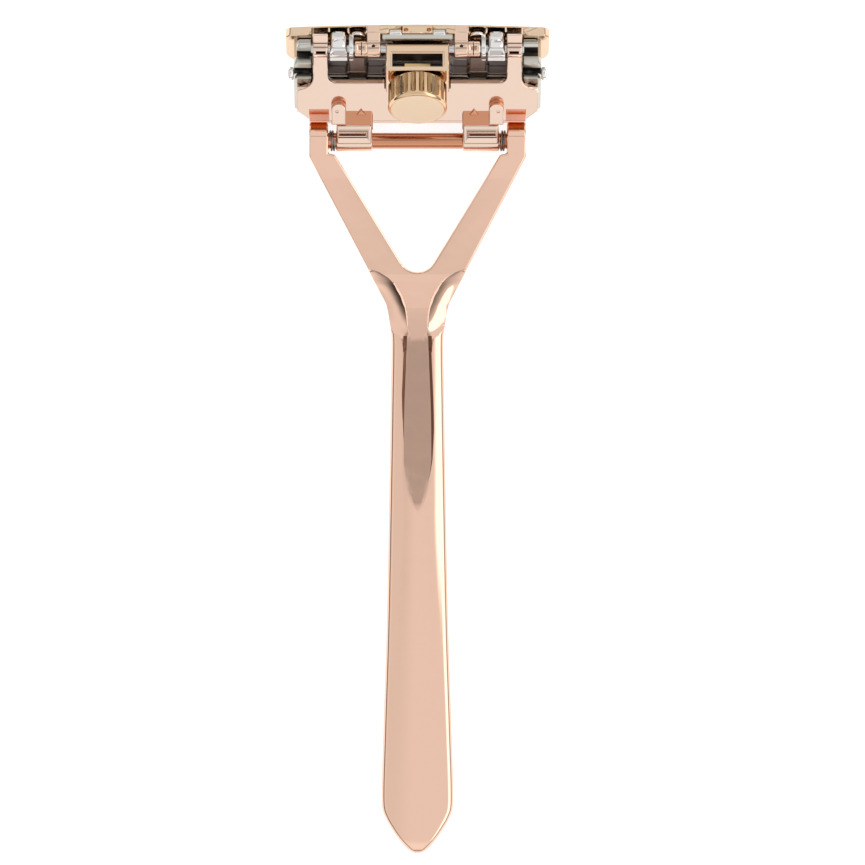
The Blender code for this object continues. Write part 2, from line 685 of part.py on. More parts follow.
def lid_outline():
    """The lid in plan, right half, with a bowed spine."""
    half = LID_WIDTH / 2
    steps = 8
    spine = [(half * i / steps, LID_SPINE - LID_CROWN * (i / steps) ** 2) for i in range(steps)]
    end = LID_SPINE - LID_CROWN
    return [(0.0, LID_FRONT), (half - LID_CORNER, LID_FRONT), (half, LID_FRONT + LID_CORNER),
            (half, end - LID_SPINE_CORNER), (half - LID_SPINE_CORNER, end)] + spine[::-1]


def lug_section():
    """A lug from the lid's spine round the hinge, in the blade frame."""
    front = edge_point(2)[0] + BLADE_DEPTH + OPEN_GAP
    foot = LID_OUTER + OPEN_GAP
    rear = LID_SPINE - OPEN_GAP
    return [(front, foot), (rear, foot), (rear, HINGE[1] - 0.6 * HINGE_BOSS),
            (HINGE[0] + 0.6 * HINGE_BOSS, HINGE[1] + 0.6 * HINGE_BOSS), (front, HINGE[1] - SIDE_GAP)]


def build_lid(pivot_at, gold, nickel):
    lid = piece("lid", plate(mirrored(lid_outline()), LID_OUTER, LID_INNER), gold, pivot_at)
    soften(lid, LID_EDGE)
    for side in (1, -1):
        low, high = span(side, (LUG[0], UPRIGHT[1] + HOOK_SPACE))
        cut(lid, box((low, HINGE[0] - LID_CORNER - HINGE_BOSS, LID_OUTER + LID_WEB),
                     (high, LID_SPINE + LID_CORNER, LID_INNER + LID_THICKNESS)))
    for side in (1, -1):
        weld = (LUG[0] + WELD_STEP, LUG[1] - WELD_STEP)
        join(lid, prism(lug_section(), *span(side, weld)),
             cylinder_x(HINGE_BOSS, *span(side, LUG), HINGE))
    cut(lid, cylinder_x(HINGE_PIN_RADIUS + RUNNING_GAP, -BASE_WIDTH, BASE_WIDTH, HINGE))
    half = LUG[0] - SIDE_GAP
    foot = LID_INNER + WELD_STEP
    bar = piece("lid_bar", box((-half, LID_SPINE - BAR_SETBACK - BAR_DEPTH, foot),
                               (half, LID_SPINE - BAR_SETBACK, foot + BAR_HEIGHT)), nickel, pivot_at)
    soften(bar, LID_EDGE / 2)


# ---------------------------------------------------------------- yoke, knob and screw

def build_yoke(gold):
    """The block on the hinge pin that carries the knob on its lower arm."""
    hook = YOKE_FACE - YOKE_HOOK
    round_off = YOKE_CORNER
    section = [(YOKE_BACK, YOKE_SEAT), (YOKE_BACK, YOKE_STEP), (hook, YOKE_STEP),
               (hook, YOKE_TOP + round_off), (hook + round_off, YOKE_TOP),
               (YOKE_FACE - round_off, YOKE_TOP), (YOKE_FACE, YOKE_TOP + round_off),
               (YOKE_FACE, YOKE_SEAT)]
    yoke = piece("yoke", prism(section, -YOKE_WIDTH / 2, YOKE_WIDTH / 2), gold, BLADE_FRAME)
    soften(yoke, YOKE_CORNER / 4)
    cut(yoke, cylinder_x(HINGE_PIN_RADIUS + RUNNING_GAP, -YOKE_WIDTH, YOKE_WIDTH, HINGE),
        box((-WINDOW_WIDTH / 2, YOKE_BACK + YOKE_WALL, WINDOW_TOP),
            (WINDOW_WIDTH / 2, YOKE_FACE + YOKE_WALL, YOKE_SEAT - YOKE_FLOOR)),
        cylinder_z(SCREW_RADIUS + 2 * RUNNING_GAP, YOKE_SEAT - 2 * YOKE_FLOOR, YOKE_SEAT + YOKE_FLOOR,
                   (0, KNOB_DEPTH)))


def build_knob(pivot_at, gold, steel):
    """The fluted thumb knob on its screw, held to the yoke's floor by a washer and a clip."""
    at = (0, KNOB_DEPTH)
    washer_low = YOKE_SEAT + SPRING_GAP
    foot = washer_low + WASHER_THICKNESS + SPRING_GAP
    face = foot + KNOB_HEIGHT
    knob = piece("thumb_knob", cylinder_z(KNOB_RADIUS, foot, face, at, 3 * KNOB_FLUTES), gold, pivot_at)
    soften(knob, KNOB_CHAMFER)
    for flute_at in arc(at, KNOB_RADIUS, 0, 360, KNOB_FLUTES)[:-1]:
        cut(knob, cylinder_z(KNOB_FLUTE_RADIUS, foot + KNOB_SKIRT, face + KNOB_SKIRT, flute_at, 10))
    cut(knob, cylinder_z(SCREW_RADIUS + RUNNING_GAP, foot - KNOB_SKIRT, foot + SCREW_GRIP, at))
    tip = foot + SCREW_GRIP - RUNNING_GAP
    piece("clamp_screw", cylinder_z(SCREW_RADIUS, YOKE_STEP - OPEN_GAP, tip, at), steel, pivot_at)
    floor = YOKE_SEAT - YOKE_FLOOR - SPRING_GAP
    past = WASHER_THICKNESS
    for name, radius, low, high in (
            ("thrust_washer", WASHER_RADIUS, washer_low, washer_low + WASHER_THICKNESS),
            ("retaining_clip", CLIP_RADIUS, floor - CLIP_THICKNESS, floor)):
        ring = piece(name, cylinder_z(radius, low, high, at, 32), steel, pivot_at)
        cut(ring, cylinder_z(SCREW_RADIUS + RUNNING_GAP, low - past, high + past, at))


def build_nut(pivot_at, brass):
    """The captive nut that climbs the screw in the yoke's window."""
    top = YOKE_SEAT - YOKE_FLOOR - SPRING_GAP - CLIP_THICKNESS - 2 * RUNNING_GAP
    half = NUT_WIDTH / 2
    nut = piece("clamp_nut", box((-half, KNOB_DEPTH - NUT_DEPTH / 2 + SIDE_GAP, top - NUT_THICKNESS),
                                 (half, KNOB_DEPTH + NUT_DEPTH / 2 + SIDE_GAP, top)), brass, pivot_at)
    cut(nut, cylinder_z(SCREW_RADIUS + RUNNING_GAP, top - 2 * NUT_THICKNESS, top + NUT_THICKNESS,
                        (0, KNOB_DEPTH)))


def build_pins(steel, chrome):
    """The hinge pin through the stack, and round-headed pins at both ends of the blade bed."""
    half = UPRIGHT[1] + PIN_HEAD
    piece("hinge_pin", cylinder_x(HINGE_PIN_RADIUS, -half, half, HINGE), steel, BLADE_FRAME)
    at = (edge_point(0)[0] + BLADE_DEPTH - END_PIN_TO_SPINE, (under_blade(0) + BED_TOP) / 2)
    ends = (CARRIER_WIDTH / 2 + SPRING_GAP, LID_WIDTH / 2 - 2 * SIDE_GAP)
    for side, word in ((1, "right"), (-1, "left")):
        pin = piece("end_pin_" + word, cylinder_x(END_PIN_RADIUS, *span(side, ends), at, 16), chrome,
                    BLADE_FRAME)
        soften(pin, END_PIN_RADIUS / 5, 2)


def main():
    rose = metal("rose_gold", (0.80, 0.52, 0.41), 0.12)
    gold = metal("yellow_gold", (0.78, 0.58, 0.36), 0.16)
    nickel = metal("nickel", (0.60, 0.58, 0.52), 0.28)
    chrome = metal("chrome", (0.72, 0.72, 0.72), 0.08)
    steel = metal("steel", (0.55, 0.55, 0.55), 0.2)
    magnet = metal("magnet", (0.52, 0.52, 0.53), 0.3)
    brass = metal("brass", (0.66, 0.47, 0.24), 0.3)
    build_handle(rose)
    build_rod(rose, steel)
    build_base(rose)
    build_posts(rose)
    build_level("lower", 0, BLADE_FRAME, None, nickel, steel, magnet)
    build_level("middle", 1, pivot("middle_pivot", HINGE), HOOK, nickel, steel, magnet)
    build_level("upper", 2, pivot("upper_pivot", HINGE), LINK, chrome, steel, magnet)
    build_lid(pivot("lid_pivot", HINGE), gold, nickel)
    build_yoke(gold)
    knob_seat = (KNOB_DEPTH, YOKE_SEAT)
    build_knob(pivot("knob_pivot", knob_seat), gold, steel)
    build_nut(pivot("nut_pivot", knob_seat), brass)
    build_pins(steel, chrome)
    bpy.context.view_layer.update()


for old in list(bpy.data.objects):
    bpy.data.objects.remove(old)
RAZOR = collection("safety_razor")
CUTTERS = collection("cutters")
PIVOTS = set()
ROD_FRAME = frame("rod_frame", None, (0, ROD_Y, ROD_HEIGHT), 0.0)
HEAD_FRAME = frame("head_frame", ROD_FRAME, (0, 0, 0), HEAD_TILT)
BLADE_FRAME = frame("blade_frame", HEAD_FRAME, (0, 0, 0), BLADE_ANGLE)
main()
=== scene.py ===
import math

import bmesh
import bpy
from mathutils import Matrix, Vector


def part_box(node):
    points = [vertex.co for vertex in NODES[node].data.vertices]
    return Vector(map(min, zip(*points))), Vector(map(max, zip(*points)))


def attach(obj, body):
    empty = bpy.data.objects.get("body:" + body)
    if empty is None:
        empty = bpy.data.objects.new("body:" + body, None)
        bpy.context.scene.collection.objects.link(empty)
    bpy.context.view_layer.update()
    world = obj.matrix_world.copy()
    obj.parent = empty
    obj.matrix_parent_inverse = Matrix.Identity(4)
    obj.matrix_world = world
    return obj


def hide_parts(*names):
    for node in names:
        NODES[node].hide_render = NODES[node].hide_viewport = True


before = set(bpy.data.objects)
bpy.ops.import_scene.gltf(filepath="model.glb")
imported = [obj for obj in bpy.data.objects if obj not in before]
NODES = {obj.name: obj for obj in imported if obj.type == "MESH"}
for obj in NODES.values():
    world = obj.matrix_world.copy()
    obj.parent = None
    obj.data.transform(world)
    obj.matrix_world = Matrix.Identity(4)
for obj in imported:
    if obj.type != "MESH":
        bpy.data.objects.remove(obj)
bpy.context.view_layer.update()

# Three frames share the cross rod's axis. The rod frame holds the handle. The head frame is
# tilted from it: Y along the shaving plane. The stack frame is tilted again: Z along the knob.
MM = 0.001
ROD_LOW, ROD_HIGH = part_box("cross_rod")
ROD = (ROD_LOW + ROD_HIGH) / 2
HEAD_TILT = math.radians(31)
BLADE_TILT = math.radians(61)
AT_ROD = Matrix.Translation(ROD)
HEAD = AT_ROD @ Matrix.Rotation(HEAD_TILT, 4, "X")
STACK = AT_ROD @ Matrix.Rotation(BLADE_TILT, 4, "X")
HANDS = ((1, "right"), (-1, "left"))
THROUGH = 25 * MM  # half the length of a cut that goes right through the head


def mm(*points):
    """Points given in millimetres."""
    return [tuple(value * MM for value in point) for point in points]


# ------------------------------------------------------------------ finishes

def polished(name, colour, roughness, spread=0.04, ripple=0.008):
    """Plated metal: a mirror with faint wipe marks in its gloss and a slight ripple."""
    made = bpy.data.materials.new(name)
    made.use_nodes = True
    tree = made.node_tree
    shader = tree.nodes["Principled BSDF"]
    shader.inputs["Base Color"].default_value = (*colour, 1.0)
    shader.inputs["Metallic"].default_value = 1.0
    place = tree.nodes.new("ShaderNodeTexCoord")
    wipe = tree.nodes.new("ShaderNodeTexNoise")
    wipe.inputs["Scale"].default_value = 420.0
    wipe.inputs["Detail"].default_value = 5.0
    wipe.inputs["Distortion"].default_value = 0.6
    gloss = tree.nodes.new("ShaderNodeMapRange")
    gloss.inputs["From Min"].default_value = 0.35
    gloss.inputs["From Max"].default_value = 0.75
    gloss.inputs["To Min"].default_value = roughness
    gloss.inputs["To Max"].default_value = roughness + spread
    wave = tree.nodes.new("ShaderNodeTexNoise")
    wave.inputs["Scale"].default_value = 260.0
    wave.inputs["Detail"].default_value = 1.0
    bump = tree.nodes.new("ShaderNodeBump")
    bump.inputs["Strength"].default_value = ripple
    bump.inputs["Distance"].default_value = 0.001
    link = tree.links.new
    link(place.outputs["Object"], wipe.inputs["Vector"])
    link(place.outputs["Object"], wave.inputs["Vector"])
    link(wipe.outputs["Fac"], gloss.inputs["Value"])
    link(gloss.outputs["Result"], shader.inputs["Roughness"])
    link(wave.outputs["Fac"], bump.inputs["Height"])
    link(bump.outputs["Normal"], shader.inputs["Normal"])
    return made


ROSE = polished("rose_gold", (0.87, 0.58, 0.45), 0.045)
GOLD = polished("yellow_gold", (0.80, 0.60, 0.43), 0.08)
# a rougher gold for the knob's flat face, its colour lightened as painted light
SATIN_LIT_GOLD = polished("satin_gold_painted_light", (0.90, 0.76, 0.59), 0.55)
KNOB_GOLD = polished("warm_gold", (0.76, 0.53, 0.33), 0.10)
# gold darkened as painted shade, for the insides of the knob's flutes
SHADED_FLUTE_GOLD = polished("flute_gold_painted_shade", (0.47, 0.28, 0.13), 0.18)
CAST = polished("cast_rose_gold", (0.82, 0.625, 0.52), 0.07)
PEBBLED = polished("pebbled_rose", (0.82, 0.60, 0.47), 0.10, ripple=0.05)
NICKEL = polished("nickel", (0.62, 0.60, 0.55), 0.22, ripple=0.02)
CHROME = polished("chrome", (0.82, 0.80, 0.79), 0.07)
STEEL = polished("blade_steel", (0.60, 0.61, 0.62), 0.18)
DARK_STEEL = polished("dark_steel", (0.26, 0.24, 0.23), 0.30)
BRASS = polished("brass", (0.62, 0.44, 0.22), 0.22)
# a deeper copper tone on rose-gold parts: painted shade and reflection where rose-gold faces mirror
# each other
COPPER_PAINTED_SHADE = polished("rose_painted_copper_shade", (0.63, 0.29, 0.17), 0.10)
# a deep copper: painted shade in the hollows round the fork's arms
SCALLOP_PAINTED_SHADE = polished("deep_copper_painted_shade", (0.60, 0.17, 0.05), 0.16)
# near-black: painted shadow in the gaps between the plates' ends
NOTCH_PAINTED_SHADOW = polished("painted_shadow_steel", (0.07, 0.062, 0.055), 0.45)
# painted shade: the plates between the uprights and the yoke's window
SHADE = polished("painted_shade_steel", (0.24, 0.19, 0.17), 0.38)
# painted shade: the bed between the uprights
BED_PAINTED_SHADE = polished("painted_shade_nickel", (0.29, 0.22, 0.18), 0.34)
# painted shadow: grooves, slits and the walls beside the grip's flat
SHADOW = polished("painted_shadow_rose", (0.16, 0.07, 0.045), 0.4)


# ------------------------------------------------------------------ shapes

def swept(corners, move):
    """A flat closed outline, extruded by a vector."""
    shape = bmesh.new()
    face = shape.faces.new([shape.verts.new(corner) for corner in corners])
    sides = bmesh.ops.extrude_face_region(shape, geom=[face])
    moved = [v for v in sides["geom"] if isinstance(v, bmesh.types.BMVert)]
    bmesh.ops.translate(shape, verts=moved, vec=move)
    bmesh.ops.recalc_face_normals(shape, faces=shape.faces)
    return shape


def prism(points, low, high):
    """A closed outline in the YZ plane, extruded along X from low to high."""
    return swept([(low, y, z) for y, z in points], (high - low, 0, 0))


def plate(points, low, high):
    """A closed outline in the XY plane, extruded along Z from low to high."""
    return swept([(x, y, low) for x, y in points], (0, 0, high - low))


def box(low, high):
    """A box between two corners."""
    shape = bmesh.new()
    size = [b - a for a, b in zip(low, high)]
    middle = [(a + b) / 2 for a, b in zip(low, high)]
    bmesh.ops.create_cube(shape, size=1.0,
                          matrix=Matrix.Translation(middle) @ Matrix.Diagonal((*size, 1.0)))
    return shape


def cylinder(radius, low, high, at=(0, 0), axis="X", sides=64):
    """A round bar along an axis, from low to high, at its other two coordinates."""
    turn = {"X": Matrix.Rotation(math.pi / 2, 4, "Y"), "Y": Matrix.Rotation(math.pi / 2, 4, "X"),
            "Z": Matrix.Identity(4)}[axis]
    where = list(at)
    where.insert("XYZ".index(axis), (low + high) / 2)
    shape = bmesh.new()
    bmesh.ops.create_cone(shape, cap_ends=True, segments=sides, radius1=radius, radius2=radius,
                          depth=high - low, matrix=Matrix.Translation(where) @ turn)
    return shape


def loft(rings):
    """A closed skin through rings with the same number of points."""
    shape = bmesh.new()
    rows = [[shape.verts.new(point) for point in ring] for ring in rings]
    for near, far in zip(rows, rows[1:]):
        for i in range(len(near)):
            j = (i + 1) % len(near)
            shape.faces.new((near[i], near[j], far[j], far[i]))
    shape.faces.new(rows[0])
    shape.faces.new(rows[-1])
    bmesh.ops.recalc_face_normals(shape, faces=shape.faces)
    return shape


def arc(centre, radius, start, end, steps):
    """Points along an arc, angles in degrees."""
    turns = [math.radians(start + (end - start) * i / steps) for i in range(steps + 1)]
    return [(centre[0] + radius * math.cos(t), centre[1] + radius * math.sin(t)) for t in turns]


def mirrored(points):
    """A right-hand outline, bottom to top, closed with its mirror image."""
    return points + [(-x, y) for x, y in reversed(points) if x > 1e-7]


def span(side, inner, outer):
    """The low and high X of a stretch on one side."""
    return (inner, outer) if side > 0 else (-outer, -inner)


def handed(side, shape):
    """A right-hand shape, turned into its mirror image where the side is the left."""
    if side < 0:
        bmesh.ops.scale(shape, verts=shape.verts, vec=(-1, 1, 1))
        bmesh.ops.reverse_faces(shape, faces=shape.faces)
    return shape


def upright(shape, tilt):
    """A shape given square to the floor, turned into a frame that is tilted about the rod."""
    bmesh.ops.rotate(shape, verts=shape.verts, matrix=Matrix.Rotation(-tilt, 3, "X"))
    return shape


def solid(name, shape, finish):
    """A bmesh as an object that is still open to change."""
    mesh = bpy.data.meshes.new(name)
    shape.to_mesh(mesh)
    shape.free()
    made = bpy.data.objects.new(name, mesh)
    bpy.context.scene.collection.objects.link(made)
    made.data.materials.append(finish)
    return made


def freeze(target):
    """Turn a piece and its modifiers into a plain mesh."""
    seen = bpy.context.evaluated_depsgraph_get()
    seen.update()
    mesh = bpy.data.meshes.new_from_object(target.evaluated_get(seen), depsgraph=seen)
    target.modifiers.clear()
    target.data = mesh


def merge(target, tool, operation, **settings):
    """Join, cut or intersect with another object, which is used up."""
    step = target.modifiers.new("step", "BOOLEAN")
    step.operation = operation
    step.object = tool
    step.solver = "EXACT"
    for name, value in settings.items():
        setattr(step, name, value)
    freeze(target)
    bpy.data.objects.remove(tool)


def combine(target, shape, operation):
    merge(target, solid("tool", shape, target.data.materials[0]), operation)


def join(target, *shapes):
    for shape in shapes:
        combine(target, shape, "UNION")


def cut(target, *shapes):
    for shape in shapes:
        combine(target, shape, "DIFFERENCE")


def slot_of(target, finish):
    """The number of a finish among a piece's materials, where it is added if it is new."""
    names = [material.name for material in target.data.materials]
    if finish.name not in names:
        target.data.materials.append(finish)
        names.append(finish.name)
    return names.index(finish.name)


def cut_with_painted_shade(target, finish, *shapes):
    """Cut shapes away and leave the cut faces in another colour, which is painted shade in the cut.
    """
    index = slot_of(target, finish)
    for shape in shapes:
        cutter = solid("tool", shape, target.data.materials[0])
        for other in target.data.materials[1:]:
            cutter.data.materials.append(other)
        for face in cutter.data.polygons:
            face.material_index = index
        merge(target, cutter, "DIFFERENCE", material_mode="INDEX")


def repainted(target, finish, chosen):
    """Give the faces that pass a test another colour; here it paints shade, shadow, reflection and
    light.
    """
    index = slot_of(target, finish)
    for face in target.data.polygons:
        if chosen(face):
            face.material_index = index


def tidy(target, angle):
    """Weld stray vertices and melt the flat faces that cuts leave behind."""
    shape = bmesh.new()
    shape.from_mesh(target.data)
    bmesh.ops.remove_doubles(shape, verts=shape.verts, dist=1e-6)
    bmesh.ops.dissolve_limit(shape, angle_limit=math.radians(angle), verts=shape.verts,
                             edges=shape.edges)
    shape.to_mesh(target.data)
    shape.free()


def rounded(target, width, steps=3, angle=30.0, melt=1.0):
    """Round the sharp edges and give the piece smooth, flat-faced shading."""
    tidy(target, melt)
    step = target.modifiers.new("edges", "BEVEL")
    step.width = width
    step.segments = steps
    step.limit_method = "ANGLE"
    step.angle_limit = math.radians(angle)
    step.harden_normals = True
    for face in target.data.polygons:
        face.use_smooth = True
    freeze(target)
    target.data.shade_smooth()
    target.data.set_sharp_from_angle(angle=math.radians(32))


def softened(shape, width, steps=3):
    """A shape with its sharp edges rounded, before it is joined to others."""
    made = solid("tool", shape, ROSE)
    rounded(made, width, steps)
    out = bmesh.new()
    out.from_mesh(made.data)
    bpy.data.objects.remove(made)
    return out


def even(target, angle=32.0, melt=0.05):
    """Shade the flats flat and the rounded edges smooth."""
    tidy(target, melt)
    target.data.shade_smooth()
    target.data.set_sharp_from_angle(angle=math.radians(angle))
    step = target.modifiers.new("normals", "WEIGHTED_NORMAL")
    step.weight = 50
    step.keep_sharp = True
    freeze(target)


def settle(target, matrix, body, slot, *nodes):
    """Move a finished piece to its place in its mesh and hand it to its body."""
    target.data.transform(matrix)
    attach(target, body)
    if nodes:
        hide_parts(*nodes)
    return target


def refined(node, name, finish, body, slot, edge, steps=3):
    """A CAD node's shape with its edges rounded."""
    made = bpy.data.objects.new(name, NODES[node].data.copy())
    bpy.context.scene.collection.objects.link(made)
    made.data.materials.clear()
    made.data.materials.append(finish)
    rounded(made, edge, steps)
    return settle(made, Matrix.Identity(4), body, slot, node)


# ------------------------------------------------------------------ handle

# Places down the handle, in millimetres below the rod
GRIP_START = 27.0
BEND_START = 30.0
NECK = 35.8
BEND_END = 38.0
GRIP = 64.0
FLAT_TIP = 66.0

TAIL_TO_ROD = ROD.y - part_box("handle")[0].y
TAIL_TAPER = 7.0 * MM
FORK_HALF = 19.45 * MM
ARM_WIDTH = 3.45 * MM
ARM_END = 3.4 * MM
ARM_LEDGE = 1.25 * MM
ROD_HOLE = 1.5 * MM
CAP_HOLE = 2.08 * MM
CROTCH_TO_ROD = 23.6 * MM
CROTCH_RADIUS = 3.4 * MM
FLARE_TO_ROD = 29.3 * MM
GRIP_THICKNESS = 8.0 * MM
GRIP_ROWS = 120
TAIL_ROWS = 22
FLAT_SLOPE = math.radians(2.4)
WALL_RUN = 0.5 * MM
WALL_TAPER = 9.0 * MM
WALL_START = 35.0 * MM
RIGHT_WALL_END = 61.0 * MM
LEFT_WALL_END = 54.2 * MM
SCOOP_TOP = 22.6
SCOOP_LENGTH = 14.9
SCOOP_ROWS = 30


def from_tail(*stations):
    """Stations given in millimetres back from the end of the tail."""
    return [(TAIL_TO_ROD - back, value) for back, value in mm(*stations)]


GRIP_HALF = mm((GRIP_START, 6.6), (29.3, 5.62), (32.2, 5.04), (NECK, 4.64), (46, 4.78),
               (GRIP, 5.08), (86, 5.5), (107, 6.15)) + \
    from_tail((10.0, 6.44), (8.2, 6.36), (6.4, 5.75), (4.5, 4.7), (2.3, 3.2), (0.9, 2.0),
              (0.3, 1.2), (0.05, 0.6), (0.0, 0.3))
GRIP_THICK = mm((GRIP_START, 4.9), (30.0, 5.3), (NECK, 6.4), (GRIP, 7.8)) + \
    from_tail((7.0, 8.0), (3.0, 7.0), (1.0, 5.6), (0.2, 4.4), (0.0, 3.4))
STRIP_HALF = mm((GRIP_START, 1.6), (NECK, 1.9), (52, 2.45), (FLAT_TIP, 2.5))
GRIP_EDGE = mm((GRIP_START, 0.5), (38.0, 1.1), (90.0, 1.1))
CROWN = mm((GRIP_START, 10.5), (FLAT_TIP, 10.5), (90.0, 15.0)) + from_tail((6.0, 24.0))
SCOOP_EDGE = mm((SCOOP_TOP, 9.6), (23.6, 6.9), (24.6, 5.0), (26.4, 3.5), (28.1, 2.5),
                (30.0, 1.95), (32.0, 1.75), (34.0, 1.8), (37.5, 2.1))
SCOOP_DEPTH = mm((SCOOP_TOP, 0.0), (24.2, 0.8), (26.5, 2.0), (29.5, 2.4), (32.0, 1.9),
                 (34.2, 0.7), (35.6, -0.4), (37.5, -1.2))


def eased(stations, distance):
    """A smooth value through (distance, value) stations, with no overshoot."""
    if distance <= stations[0][0]:
        return stations[0][1]
    slopes = [(b[1] - a[1]) / (b[0] - a[0]) for a, b in zip(stations, stations[1:])]
    tangents = [slopes[0]]
    for before, after in zip(slopes, slopes[1:]):
        tangents.append(0.0 if before * after <= 0 else 2 * before * after / (before + after))
    tangents.append(slopes[-1])
    for i, ((near, first), (far, second)) in enumerate(zip(stations, stations[1:])):
        if distance < far:
            width = far - near
            t = (distance - near) / width
            return ((2 * t ** 3 - 3 * t ** 2 + 1) * first
                    + (t ** 3 - 2 * t ** 2 + t) * width * tangents[i]
                    + (3 * t ** 2 - 2 * t ** 3) * second
                    + (t ** 3 - t ** 2) * width * tangents[i + 1])
    return stations[-1][1]


def middle_line(distance):
    """Height of the handle's middle, below the rod, at a distance down from the rod."""
    return -(ROD.z - GRIP_THICKNESS / 2) * distance / (TAIL_TO_ROD - TAIL_TAPER)


def flat_height(distance):
    """Height above the middle line of the flat that runs from the crotch into the grip."""
    tip, start, end = FLAT_TIP * MM, BEND_START * MM, BEND_END * MM
    apex = eased(GRIP_THICK, tip) / 2
    slope = math.tan(FLAT_SLOPE)
    if distance >= end:
        return apex - (tip - distance) * slope
    level = apex - (tip - (start + end) / 2) * slope
    if distance >= start:
        return level + slope * (distance - start) ** 2 / (2 * (end - start))
    return level + (2.6 * MM - level) * min(1.0, (start - distance) / (6.0 * MM))


def wall_run(distance, end):
    """Width of the wall beside the grip's flat, which narrows to nothing at its end."""
    return WALL_RUN * min(1.0, max(0.0, (end - distance) / WALL_TAPER))


def half_ring(distance, wall_end):
    """Half a section of the grip: a sunk flat, a crowned face, a rounded edge, a flat back."""
    half = eased(GRIP_HALF, distance)
    thick = eased(GRIP_THICK, distance) / 2
    edge = min(eased(GRIP_EDGE, distance), half * 0.55, thick * 0.8)
    drop = max(0.0, thick - flat_height(distance)) if distance < FLAT_TIP * MM else 0.0
    bow = eased(CROWN, distance)
    crease = max(math.sqrt(2 * bow * drop), 0.02 * MM)
    floor = min(crease, eased(STRIP_HALF, distance))
    shoulder = half - edge
    brow = min(floor + wall_run(distance, wall_end), shoulder * 0.95)

    def crown(x):
        return thick - x * x / (2 * bow)

    face = [(floor * i / 3, thick - drop) for i in range(4)]
    rise = crown(brow) - thick + drop
    face += [(floor + (brow - floor) * t, thick - drop + rise * t) for t in (0.5, 1.0)]
    steps = [brow + (shoulder - brow) * i / 9 for i in range(1, 10)]
    face += [(x, crown(x)) for x in steps]
    top = face[-1][1]
    turn = 90 - math.degrees(math.atan(shoulder / bow))
    full = math.radians(turn)
    corner = []
    for i in range(1, 11):
        part = math.radians(turn * (1 - i / 10))
        corner.append((shoulder + edge * (math.cos(part) - math.cos(full)) / (1 - math.cos(full)),
                       top - edge * (1 - math.sin(part) / math.sin(full))))
    under = arc((half - edge, -thick + edge), edge, 0, -90, 8)
    back = [(shoulder * (1 - i / 5), -thick) for i in range(1, 6)]
    return face + corner + under + back


def grip_ring(distance):
    """One section of the grip, whose flat has a longer wall on its right."""
    right = half_ring(distance, RIGHT_WALL_END)
    left = [(-x, z) for x, z in reversed(half_ring(distance, LEFT_WALL_END)[1:-1])]
    height = middle_line(distance)
    return [(x, -distance, height + z) for x, z in right + left]


def fork_outline():
    """The fork from above, right half, from below the neck round to the crotch."""
    inner = FORK_HALF - ARM_WIDTH
    crotch = (0.0, CROTCH_RADIUS - CROTCH_TO_ROD)
    foot = (inner - ARM_LEDGE, -2.6 * MM)
    reach = math.hypot(foot[0], foot[1] - crotch[1])
    lean = math.degrees(math.atan2(foot[1] - crotch[1], foot[0]))
    tangent = lean - math.degrees(math.acos(CROTCH_RADIUS / reach))
    low = -NECK * MM - 4.0 * MM
    outline = [(0.0, low), (1.6 * MM, low)]
    outline += mm((1.62, -35), (2.6, -32.5), (4.9, -30.4), (5.6, -29.3))
    outline += [(FORK_HALF, -2.9 * MM), (FORK_HALF, ARM_END * 2), (inner, ARM_END * 2),
                (inner, -2.35 * MM), foot]
    return outline + arc(crotch, CROTCH_RADIUS, tangent, -90, 24)


def fork_side():
    """The fork from the side: a round boss at the rod, thinner arms, and the flat of the neck."""
    stations = mm((2.0, 3.05), (7.0, 2.6), (24.0, 2.6))
    low = NECK * MM + 8.0 * MM
    under = [(-d, middle_line(d) - half) for d, half in stations]
    under.append((-low, middle_line(low) - 2.2 * MM))
    start, end = BEND_START * MM, BEND_END * MM
    hair = 0.004 * MM  # keeps the fork's flat off the grip's, above it at the neck, then below
    over = [(-d, middle_line(d) + flat_height(d) + (hair if d < NECK * MM else -hair))
            for d in [low] + [end - (end - start) * i / 8 for i in range(9)]]
    over += [(-d, middle_line(d) + half) for d, half in reversed(stations)]
    return under[::-1] + arc((0, 0), ARM_END, -80, 80, 40) + over[::-1]


def scoop_ring(distance, side):
    """One section of the space above a scoop, which falls away beside the neck's flat."""
    inner = eased(SCOOP_EDGE, distance)
    outer = 7.2 * MM + max(0.0, FLARE_TO_ROD - distance) * 0.53
    top = middle_line(distance) + flat_height(distance)
    fall = eased(SCOOP_DEPTH, distance)
    steps = 16
    ring = [(inner + (outer - inner) * i / steps, top - fall * (1 - (1 - i / steps) ** 2.4))
            for i in range(steps + 1)]
    ring += [(outer, top + 4 * MM), (inner, top + 4 * MM)]
    return [(side * x, -distance, z) for x, z in ring[::side]]


def on_wall(face):
    """Whether a face of the handle is on a wall beside the grip's flat."""
    x, distance = face.center.x, -face.center.y
    end = RIGHT_WALL_END if x > 0 else LEFT_WALL_END
    if distance < BEND_END * MM:
        wall = eased(STRIP_HALF, distance)
        inner, outer = wall - 0.04 * MM, wall + WALL_RUN + 0.11 * MM
    else:
        inner = half_ring(distance, end)[3][0] - 0.01 * MM
        outer = inner + wall_run(distance, end) + 0.03 * MM
    return WALL_START < distance < end and inner < abs(x) < outer


